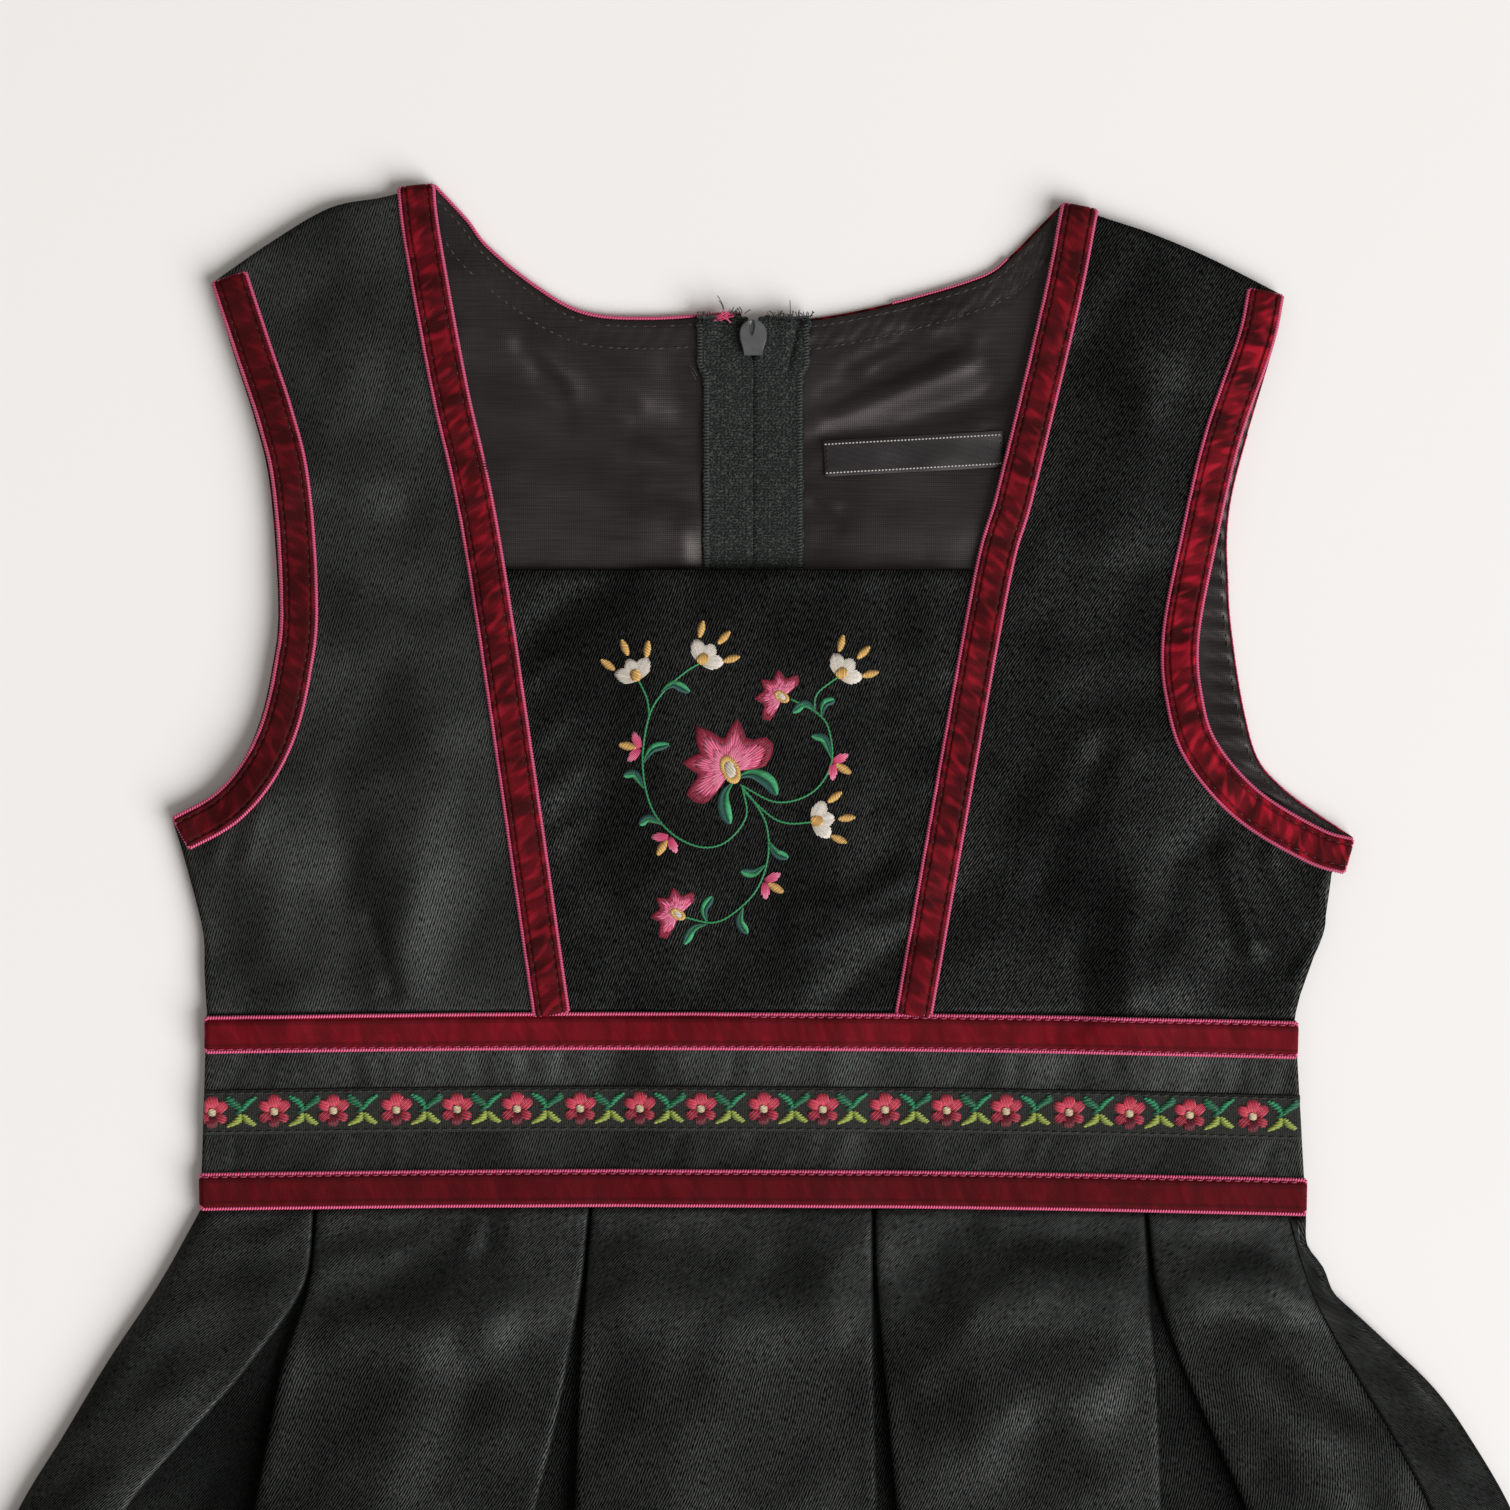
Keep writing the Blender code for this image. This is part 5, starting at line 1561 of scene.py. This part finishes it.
def back_right_section(depth):
    """Flat on the table, then round the right edge and back to the side seam on the front."""
    depths, across = zip(*RIGHT_EDGE)
    top = 2 * LAYER + ON_FLOOR
    turn = (top - ON_FLOOR) / 2
    bend = at_depth(across, depth, depths) - turn - CLOTH / 2
    flat = np.linspace(ZIP_X + SEAM / 2, bend, 36)[:-1]
    seam = at_depth(SIDE_SEAM, depth) + SEAM / 2
    over = np.linspace(bend, seam, 16)[1:]
    lift = folds(*skirt_place(over, depth).T, RIGHT_EDGE_FOLDS)
    return np.vstack([np.column_stack([flat, np.full(len(flat), ON_FLOOR)]),
                      fold_round(bend + turn, ON_FLOOR, top, 1),
                      np.column_stack([over, top + np.maximum(lift, -0.5)])])


for side, section in (("left", back_left_section), ("right", back_right_section)):
    grid = skirt_grid(section)
    piece = cloth_wall("skirt_back_" + side + "_satin", grid, CLOTH, satin_skirt_shaded,
                       twill(measured_weave(grid), 66))
    declare_cloth(piece, grid, ["skirt_back_" + side])
    print(side, "back of the skirt cut to", cut_sizes[piece.name])

# %% [markdown]
# ## Embroidery on the bib
# The spray is worked in satin stitch: a large flower with five points and two leaves, from which
# scrolling stems lead to smaller flowers and buds. A petal is a fan of long strands, lighter near
# the middle, with a darker border of short strands set across its edge.

# %% Petals, leaves and stems
PINK, PINK_LIGHT, PINK_DEEP = dye("f2618f"), dye("ff9aba"), dye("dd3e72")
BORDER, BORDER_DEEP = dye("a8143f"), dye("850e30")
WHITE, WHITE_SHADE = dye("f4ece0"), dye("dccdb6")
GOLD_LIGHT = dye("f4cd82")
STEM_WIDTH = 0.54
FULLEST = 1.25          # above 1, a leaf is widest beyond its middle
GREEN, GREEN_LIGHT, GREEN_DARK = dye("2a9458"), dye("44b87a"), dye("1e5f54")


def bib_surface(x, y):
    return front_height(x, y) + SATIN / 2 + 0.05


def toward(point, angle, distance):
    return (point[0] + distance * math.cos(math.radians(angle)),
            point[1] + distance * math.sin(math.radians(angle)))


def strand(bundle, start, end, width, lift, rise, colour):
    """One strand over the bib, a little lighter or darker than the next."""
    ends = [np.array([*p, bib_surface(*p) + lift]) for p in (start, end)]
    stitch(bundle, ends[0], ends[1], width, rise, np.array(colour) * random.uniform(0.82, 1.12))


def fan(bundle, base, tip, width, colours, pitch, rise):
    """A petal from base to tip: long strands side by side, each with its colours along it."""
    base, tip = np.array(base, float), np.array(tip, float)
    length = np.linalg.norm(tip - base)
    axis = (tip - base) / length
    normal = np.array([-axis[1], axis[0]])
    count = max(int(width / pitch), 3)
    stations = 6
    for k in range(count):
        lateral = -1 + (2 * k + 1) / count
        full = max(1 - abs(lateral) ** 2.2, 0.06) ** 0.3
        share = np.linspace(0.02, full + random.uniform(-0.03, 0.03), stations)
        half = width / 2 * np.sin(math.pi * np.clip(0.12 + 0.62 * share, 0, 1)) ** 0.8
        flat = base + axis * (share * length)[:, None] + normal * (lateral * half)[:, None]
        arch = np.sin(math.pi * np.linspace(0.08, 0.95, stations)) ** 0.5
        z = bib_surface(flat[:, 0], flat[:, 1]) + rise * (1 - 0.5 * lateral ** 2) * arch
        radius = np.clip(half / count * 1.25, 0.09, pitch)
        points, faces, weave = tube(np.column_stack([flat, z]), radius, 4)
        place = np.linspace(0, len(colours) - 1, stations) * full
        shade = np.column_stack([np.interp(place, np.arange(len(colours)), column)
                                 for column in np.array(colours).T])
        bundle.add(points, faces, weave, np.repeat(shade * random.uniform(0.86, 1.12), 4, axis=0))


def crown(bundle, heart, size, facing, petals, oval):
    """Pointed petals that grow together, in long and short strands on a padding, with a dark rim.
    petals lists the direction and length of each tip and of each notch between them."""
    angles, lengths = (np.array(column, float) for column in zip(*petals))

    def edge(angle):
        return size * np.interp(angle, angles, lengths)

    rim = np.linspace(angles[0], angles[-1], 90)
    rings = []
    for share, lift in ((0.02, 0.25), (0.5, 0.25), (0.94, 0.02)):
        places = np.array([toward(heart, angle + facing, edge(angle) * share) for angle in rim])
        rings.append(lifted(places, bib_surface, lift))
    shades = np.repeat(np.array([PINK, PINK, BORDER]), len(rim), axis=0)
    bundle.add(np.vstack(rings), grid_faces(3, len(rim))[:, ::-1].tolist(),
               np.vstack(rings)[:, :2], shades)
    layers = ((0.72, 1.00, 0.10, 1.0, 0.30, 0.02, (BORDER, BORDER_DEEP)),
              (0.40, 0.84, 0.12, 0.8, 0.30, 0.20, (PINK, PINK_DEEP, PINK_LIGHT)),
              (0.14, 0.60, 0.16, 0.5, 0.28, 0.34, (PINK, PINK_LIGHT, PINK_LIGHT)))
    for inner, outer, ragged, at, pitch, lift, colours in layers:
        count = int(math.radians(angles[-1] - angles[0]) * size * at / pitch)
        for k in range(count):
            angle = angles[0] + (angles[-1] - angles[0]) * (k + random.uniform(0.2, 0.8)) / count
            length = edge(angle)
            start = length * (inner + random.uniform(-ragged, ragged) * 0.6)
            end = length * (outer - random.uniform(0, ragged) * (outer < 1))
            strand(bundle, toward(heart, angle + facing, max(start, 0.6)),
                   toward(heart, angle + facing, end), 0.42, lift, 0.22, colours[k % len(colours)])
    long, wide, lean = oval
    turn = math.radians(lean)
    ring = int(3.2 * (long + wide) / 2 / 0.38)
    for k in range(ring):
        a = 2 * math.pi * k / ring
        ends = []
        for share in (1.0, 0.52):
            x, y = long / 2 * share * math.cos(a), wide / 2 * share * math.sin(a)
            ends.append((heart[0] + x * math.cos(turn) - y * math.sin(turn),
                         heart[1] + x * math.sin(turn) + y * math.cos(turn)))
        strand(bundle, ends[0], ends[1], 0.5, 0.56, 0.22, (GOLD, GOLD_LIGHT)[k % 2])
    filled(bundle, heart, long * 0.66, wide * 0.58, turn, turn + 0.3, 0.32,
           lambda x, y: bib_surface(x, y) + 0.62, (WHITE, WHITE_SHADE), 0.2)


LARGE_PETALS = ((-84, 0.30), (-76, 0.72), (-62, 0.90), (-52, 1.02), (-40, 0.98), (-30, 0.76),
                (-18, 0.72), (0, 1.04), (16, 0.66), (26, 0.68), (46, 1.12), (60, 0.86), (70, 0.70),
                (90, 0.98), (104, 0.68), (112, 0.68), (128, 1.02), (140, 0.98), (152, 0.86),
                (160, 0.3))
SMALL_PETALS = ((-96, 0.3), (-90, 0.8), (-74, 1.0), (-58, 0.72), (-48, 0.7), (-30, 1.0), (-16, 0.72),
                (-4, 0.72), (12, 1.0), (28, 0.72), (38, 0.72), (56, 1.02), (70, 0.74), (82, 0.76),
                (100, 1.08), (116, 0.98), (124, 0.3))


def grain(bundle, middle, facing, long=4.4, wide=1.9):
    """A pointed golden grain of slanted strands."""
    filled(bundle, middle, long, wide, math.radians(facing), math.radians(facing + 62), 0.34,
           bib_surface, (GOLD, GOLD_LIGHT), 0.36, blunt=1.15)


def leaf(bundle, points, width):
    """A leaf along a bent line: slanted strands, light on one half and blue-green on the other."""
    line = smooth_line(points, int(run_lengths(np.array(points, float))[-1] / 0.33))
    along = np.gradient(line, axis=0)
    along /= np.linalg.norm(along, axis=1)[:, None]
    for k in range(1, len(line) - 1):
        share = k / (len(line) - 1)
        half = width / 2 * math.sin(math.pi * share ** FULLEST) ** 0.75
        normal = np.array([-along[k, 1], along[k, 0]])
        for way, colour in ((1, GREEN_LIGHT if share > 0.5 else GREEN), (-1, GREEN_DARK)):
            out = line[k] + normal * way * half + along[k] * half * 0.7
            strand(bundle, line[k] - along[k] * 0.2, out, 0.46, 0.0, 0.28, colour)


def stem(bundle, points):
    line = smooth_line(points, int(run_lengths(np.array(points, float))[-1] / 0.3))
    path = lifted(line, bib_surface, 0.17)
    bundle.add(*tube(path, STEM_WIDTH / 2, 6, flat=0.8, twist=(1.15, 0.28)), GREEN)


print("the large flower spans", LARGE_PETALS[-1][0] - LARGE_PETALS[0][0], "degrees")

# %% Flowers and buds
def white_flower(bundle, heart, facing):
    """Three broad white petals on a gold base, and three gold grains before them."""
    for spread in (-54, 0, 54):
        fan(bundle, heart, toward(heart, facing + spread, 5.9 - 0.5 * (spread == 0)), 4.3,
            (WHITE_SHADE, WHITE, WHITE), 0.32, 0.34)
    filled(bundle, toward(heart, facing, 0.7), 3.2, 2.6, math.radians(facing),
           math.radians(facing + 40), 0.34, lambda x, y: bib_surface(x, y) + 0.42,
           (GOLD, GOLD_LIGHT), 0.22, blunt=0.9)
    for spread, out in ((-46, 8.0), (-4, 8.6), (40, 8.4)):
        grain(bundle, toward(heart, facing + spread, out), facing + spread * 0.7)


def bud(bundle, base, facing):
    """A gold bud held by two pink sepals."""
    grain(bundle, toward(base, facing, 3.3), facing, 4.9, 2.0)
    for way in (-1, 1):
        fan(bundle, base, toward(base, facing + way * 58, 4.6), 2.3,
            (PINK_DEEP, PINK, PINK_LIGHT), 0.34, 0.36)


print("the white flower's petals shade from", np.round(WHITE_SHADE, 2), "to", np.round(WHITE, 2))

# %% The spray
silk = Bundle()
for points in (
        ((-3.4, 111.6), (-2.4, 103.6), (-7.7, 96.9), (-14.6, 95.6), (-22.3, 99.4), (-27.6, 106.5),
         (-29.7, 117.7), (-28.1, 129.6), (-24.4, 136.2), (-18.5, 141.6), (-14.6, 144.0)),
        ((-27.9, 130.2), (-28.6, 134.8), (-30.8, 139.6)),
        ((-4.0, 112.0), (5.8, 107.4), (15.1, 110.0), (20.1, 117.7), (19.3, 126.9), (15.9, 131.2),
         (9.4, 134.6)),
        ((15.6, 131.4), (16.4, 136.0), (21.8, 140.4)),
        ((-3.6, 111.6), (-1.9, 109.2), (4.2, 103.6), (9.0, 101.8), (14.8, 102.1)),
        ((-3.6, 111.4), (-0.4, 107.6), (2.9, 101.5), (3.4, 93.0), (0.5, 84.5), (-5.3, 78.4),
         (-11.1, 75.6), (-18.6, 77.0))):
    stem(silk, points)
crown(silk, (-6.6, 116.0), 13.0, 82, LARGE_PETALS, (8.0, 4.8, 116))
leaf(silk, ((-5.4, 113.4), (-1.2, 114.9), (3.2, 113.0), (5.8, 109.2)), 3.6)
leaf(silk, ((-5.6, 113.0), (-8.0, 109.6), (-8.0, 105.4), (-6.6, 101.6)), 3.4)
crown(silk, (7.0, 135.2), 7.2, 128, SMALL_PETALS, (4.4, 2.7, 148))
crown(silk, (-20.4, 77.8), 7.2, 130, SMALL_PETALS, (4.4, 2.7, 150))
for heart, facing in (((-31.2, 140.2), 116), ((-14.2, 144.6), 50), ((22.4, 140.9), 48),
                      ((15.6, 102.3), 10)):
    white_flower(silk, heart, facing)
for base, facing in (((-30.4, 121.6), 170), ((-22.8, 98.2), 238), ((20.4, 117.8), -30),
                     ((2.6, 86.4), -30)):
    bud(silk, base, facing)
for base, middle, tip in (
        ((-24.8, 136.4), (-21.6, 138.4), (-17.2, 136.4)),
        ((-29.6, 117.6), (-27.0, 121.4), (-22.6, 122.6)),
        ((-29.3, 111.0), (-31.8, 114.6), (-34.8, 114.4)),
        ((-24.6, 101.6), (-28.0, 103.0), (-30.6, 101.4)),
        ((16.4, 131.0), (13.2, 133.2), (9.8, 131.0)), ((17.4, 130.0), (18.4, 133.2), (21.0, 134.4)),
        ((20.2, 119.0), (18.2, 123.8), (14.8, 125.0)), ((3.4, 97.2), (5.4, 94.2), (8.8, 92.6)),
        ((2.7, 90.8), (-0.4, 88.8), (-3.8, 89.2)), ((-3.2, 79.6), (-4.0, 76.0), (-2.0, 72.6)),
        ((-12.6, 75.4), (-13.4, 79.0), (-11.2, 82.6)), ((-12.8, 75.2), (-16.2, 74.0), (-18.8, 69.8))):
    leaf(silk, (base, middle, tip), 2.3)
trim(silk.build("bib_embroidery", thread))
print("embroidery strands:", len(silk.points))

# %% [markdown]
# ## Zip, label and ribbons of the back
# The tapes are knitted, with cut ends that fray at the neck. The label is a folded strip of satin
# with two fine dotted borders. On the underside the ribbons lie flush with the satin, because the
# dress rests on them, so their pile is pressed flat.

# %% Zip tapes
TAPE_FLARE = 1.7        # how far the outer edge of each tape moves out near its top
TAPE_FLARE_Y = 220      # where it begins to


def tape_height(x, y):
    """The tapes lie nearly flat; the right one is folded over on a slant at its top."""
    fold_line = 9.3 + (y - 223) * 0.22
    folded = 0.55 * ease((x - fold_line) / 0.7) * ease((y - 220) / 3)
    crease = -0.5 * np.exp(-((x - fold_line) / 0.8) ** 2) * ease((y - 219) / 4)
    wave = 0.12 * np.sin(y / 7.0) + 0.25 * ease((y - 225) / 10) * np.sin(x * 0.9)
    centre = -0.35 * np.exp(-((x - ZIP_X) / 0.5) ** 2)
    return 2 * LAYER + ON_FLOOR + wave + folded + crease + centre


for side, way in (("left", -1), ("right", 1)):
    ys = np.linspace(2, TAPE_TOP, 120)
    inner = ZIP_X + way * (0.12 + 1.5 * ease((ys - 224) / 3))
    outer = ZIP_X + way * (TAPE_WIDTH + 0.2 + 0.25 * np.sin(ys / 2.3)
                           + TAPE_FLARE * ease((ys - TAPE_FLARE_Y) / 3) + 0.5 * np.sin(ys * 1.7) * (ys > 222))
    share = np.linspace(0, 1, 27)[None, :, None]
    edges = [np.column_stack([x, ys])[:, None] for x in (inner, outer)]
    flat = edges[0] * (1 - share) + edges[1] * share
    if side == "left":
        flat = flat[:, ::-1]
    grid = raised(flat, tape_height)
    piece = cloth_wall("zip_tape_" + side + "_knit", grid, 0.9, knit)
    declare_cloth(piece, grid, ["zip_tape_" + side])
    print(side, "zip tape cut to", cut_sizes[piece.name])

# %% Back neckline: velvet edge, rows of stitches and frayed ends
def lining_top(x, y):
    return lining_height(x, y) + LINING / 2


def over_lining(line, inset, rise):
    """A line inside the neckline or armhole, on the lining."""
    return lifted(beside(line, inset), lining_top, rise)


def frays(bundle, starts, facing, spread, length, colour, width):
    """Loose threads that curl away from a cut end."""
    for x, y, z in starts:
        angle = math.radians(facing + random.uniform(-spread, spread))
        bend = random.uniform(-1.2, 1.2)
        t = np.linspace(0, 1, 9) * length * random.uniform(0.5, 1.2)
        turned = angle + bend * t / length
        steps = np.column_stack([np.cos(turned), np.sin(turned)]) * np.gradient(t)[:, None]
        path = np.array([x, y]) + np.cumsum(steps, axis=0)
        height = z + 0.5 * np.sin(t / length * 2.2)
        bundle.add(*tube(np.column_stack([path, height]), width / 2, 4), colour)


neck_edge, neck_sewing = Bundle(), Bundle()
for side, out in OUTWARDS.items():
    line = smooth_line(BACK_NECK[side], 260)
    seen = line[:-14] if side == "left" else line[(line[:, 0] > 36) & (line[:, 0] < 67)]
    path = lifted(beside(seen, 0.05 * out), 1.55)
    neck_edge.add(*tube(path, 0.46 if side == "left" else 0.3, 6, twist=(LOOP, 0.26)))
    for depth in STITCH_DEPTHS:
        dashes(neck_sewing, over_lining(line[:-16], -out * depth, 0.04), 1.5, 1.0, 0.42, 0.16,
               dye("3a3431"))
line = smooth_line(BACK_ARMHOLE["right"], 300)
path = lifted(beside(line[8:230], -0.1), 1.4)
neck_edge.add(*tube(path, 0.17, 5, twist=(LOOP, 0.26)))
dashes(neck_sewing, over_lining(line[8:230], 1.5, 0.04), 1.4, 1.0, 0.36, 0.14, dye("2e2927"))
trim(neck_edge.build("back_neck_edge", raspberry))

ends = Bundle()
for k in range(22):
    start = (-11.4 + random.uniform(0, 2.6), 234.6 + random.uniform(-0.4, 0.8), 4.7)
    frays(ends, [start], 22, 12, 3.9, (PINK_DEEP, PINK, BORDER)[k % 3], 0.36)
for low, high, y, count in ((-15.0, -9.0, 235.0, 30), (-8.0, -3.0, 236.2, 12), (4.0, 8.0, 235.4, 14),
                            (8.0, 14.6, 235.2, 26)):
    frays(ends, [(x, y, 4.6) for x in np.linspace(low, high, count)], 70, 70, 1.7,
          dye("242726"), 0.26)
frays(ends, [(-8.4, 237.0, 4.8), (-8.0, 237.2, 4.8), (-15.4, 218.5, 4.4), (-15.2, 219.5, 4.4),
             (9.4, 236.0, 4.6)], 100, 40, 3.4, dye("2f3231"), 0.2)
for y in np.arange(3.0, 234.0, 0.85):
    for way in (-1, 1):
        edge = ZIP_X + way * (TAPE_WIDTH + 0.15 + TAPE_FLARE * float(ease((y - TAPE_FLARE_Y) / 3)))
        start = np.array([edge - way * 1.3, y, tape_height(edge - way, y) + 0.42])
        end = np.array([edge + way * 0.12, y + 0.16, tape_height(edge, y) + 0.34])
        stitch(ends, start, end, 0.5, 0.16, dye("303735"))
trim(neck_sewing.build("neckline_stitches", thread))
trim(ends.build("zip_tape_ends", thread))
print("loose and edge threads:", len(ends.points))

# %% Label
LABEL_START = np.array([18.6, 193.4])
LABEL_END = np.array([66.0, 196.0])
LABEL_WIDTH = 9.4


def label_wave(x):
    """The label lies in one soft wave."""
    return 0.5 * np.sin((x - 14) / 9) ** 2


line = even_line([LABEL_START, LABEL_END], 40)
flat = np.stack([beside(line, s) for s in np.linspace(0, LABEL_WIDTH, 9)], axis=0)
low = raised(flat, lambda x, y: 2 * LAYER + 0.1 + label_wave(x))
grid = low + (0, 0, 0.3)
piece = cloth_wall("label_satin", grid, 0.6, label_satin, measured_weave(grid))
declare_cloth(piece, grid, ["label"])
borders = Bundle()
for s in (0.9, LABEL_WIDTH - 0.9):
    path = lifted(beside(line, s), lambda x, y: 2 * LAYER + 0.72 + label_wave(x))
    dashes(borders, path, 0.5, 0.42, 0.42, 0.12, dye("dcd9d5"))
for end, inwards in ((0, 0.8), (-1, -0.8)):
    across = even_line([line[end], beside(line, LABEL_WIDTH)[end]], 12)
    path = lifted(across + np.array([inwards, 0]), 2 * LAYER + 0.8)
    dashes(borders, path, 0.9, 0.5, 0.3, 0.15, dye("17181a"))
trim(borders.build("label_borders", thread))
print("label cut to", cut_sizes["label_satin"])

# %% Ribbons of the back
def back_ribbon(name, edge, side, width, node, finish):
    """A ribbon let in flush on the underside, its pile pressed flat."""
    edge = even_line(edge, max(int(run_lengths(edge)[-1] / 3), 4))
    steps = np.array([0.0, 0.06, 0.14, 0.21, 0.28, 0.5, 0.72, 0.79, 0.86, 0.94, 1.0])
    flat = np.stack([beside(edge, side * width * s) for s in steps], axis=1)
    dip = 0.3 * np.exp(-((np.minimum(steps, 1 - steps) - 0.21) / 0.04) ** 2)
    dip += 0.22 * np.clip(1 - np.minimum(steps, 1 - steps) / 0.07, 0, 1)
    low = raised(flat, np.broadcast_to(dip, flat.shape[:2]))
    high = raised(flat, 1.0)
    run = run_lengths(edge)[:, None]
    weave = np.dstack(np.broadcast_arrays(steps[None] * width, run))
    if side > 0:
        low, high, weave = low[:, ::-1], high[:, ::-1], weave[:, ::-1]
    piece = shell(name, low, high, finish, weave, 0.15)
    return declare_cloth(piece, low, [node])


for side, out in OUTWARDS.items():
    edge = smooth_line(BACK_NECK[side], 60)
    edge[-1, 0] = ZIP_X - out * TAB_SLOT
    back_ribbon("back_neck_ribbon_" + side + "_velvet", edge, -out, VELVET_WIDTH,
                "back_neck_ribbon_" + side, velvet)
    back_ribbon("back_armhole_ribbon_" + side + "_velvet", smooth_line(BACK_ARMHOLE[side], 80), -out,
                VELVET_WIDTH, "back_armhole_ribbon_" + side, velvet)
    for name, y, width, finish, slot in (
            ("lower_ribbon", LOWER_VELVET_Y, VELVET_WIDTH, velvet, "velvet"),
            ("flower_ribbon", FLOWER_RIBBON_Y, FLOWER_RIBBON_WIDTH, ribbon_ground, "flower_ribbon"),
            ("upper_ribbon", UPPER_VELVET_Y, VELVET_WIDTH, velvet, "velvet")):
        ends = band_ends(y + width / 2)
        start, end = (ends[0], ZIP_X - SEAM / 2) if side == "left" else (ZIP_X + SEAM / 2, ends[1])
        back_ribbon(name + "_back_" + side + "_cloth", waist_line(start, end, y, 60), 1, width,
                    name + "_back_" + side, finish)
print("sheets of cloth in all:", len(cut_sizes))

# %% Metal of the zip
for name, finish in (("zip_slider", slider_metal), ("zip_pull", gunmetal)):
    frame["nodes"][name].data.materials.clear()
    frame["nodes"][name].data.materials.append(finish)
print("slider and pull tab are dressed in gunmetal")

# %% [markdown]
# ## Table, light and camera
# The dress lies on a pale table and is seen from straight above. A large soft light stands low to
# the right and in front, so every fold shades towards the upper left. A weak warm sky fills in.

# %% Table
def table_finish():
    made = Finish("pale table")
    place = made.node("TexCoord", {}, {}, 3)
    cloud = made.node("TexNoise", {}, {"Vector": place, "Scale": 2.0, "Detail": 2.0})
    return made.wear(base_color=made.mix(cloud, dye("efedeb"), dye("f3f2f0")), roughness=0.9,
                     specular_ior_level=0.1)


TABLE_HALF = 3          # metres
TABLE_TOP = -0.0002     # just clear of the underside of the dress
mesh = bpy.data.meshes.new("table")
mesh.from_pydata([(x * TABLE_HALF, y * TABLE_HALF, TABLE_TOP)
                  for x, y in ((-1, -1), (1, -1), (1, 1), (-1, 1))], [], [(0, 1, 2, 3)])
mesh.materials.append(table_finish())
table = bpy.data.objects.new("table", mesh)
bpy.context.scene.collection.objects.link(table)
print("table:", 2 * TABLE_HALF, "m square")

# %% Light
def soft_light(name, place, target, size, power, colour):
    light = bpy.data.lights.new(name, "AREA")
    light.shape = "DISK"
    light.size = size
    light.energy = power
    light.color = colour
    lamp = bpy.data.objects.new(name, light)
    lamp.location = place
    away = np.array(place) - np.array(target)
    lamp.rotation_euler = (math.atan2(math.hypot(away[0], away[1]), away[2]), 0.0,
                           math.atan2(away[1], away[0]) + math.pi / 2)
    bpy.context.scene.collection.objects.link(lamp)


soft_light("window", (4.9, -3.8, 4.8), (0, 0.1, 0), 7.0, 890, (1.0, 0.995, 1.0))
world = bpy.data.worlds.new("studio")
world.use_nodes = True
world.node_tree.nodes["Background"].inputs["Color"].default_value = (1.0, 0.94, 0.89, 1.0)
world.node_tree.nodes["Background"].inputs["Strength"].default_value = 0.3
bpy.context.scene.world = world
bpy.context.scene.view_settings.view_transform = "Standard"

# %% Camera
FIELD = 0.400           # width of the field on the table
EYE = 1.5               # height of the camera
AIM_Y = 0.1743          # what it looks down on, between waist and neck
camera = bpy.data.cameras.new("camera")
camera.sensor_width = 36.0
camera.lens = camera.sensor_width * EYE / FIELD
camera.clip_start = 0.05
viewer = bpy.data.objects.new("camera", camera)
viewer.location = (0.0, AIM_Y, EYE)
bpy.context.scene.collection.objects.link(viewer)
bpy.context.scene.camera = viewer
print("field:", FIELD, "m wide")

# %% Measure
piece_count = sum(1 for o in bpy.data.objects if o.type == "MESH" and not o.hide_render)
triangles = sum(len(p.vertices) - 2 for o in bpy.data.objects
                if o.type == "MESH" and not o.hide_render for p in o.data.polygons)
print("objects shown, the table among them:", piece_count, "triangles:", triangles)
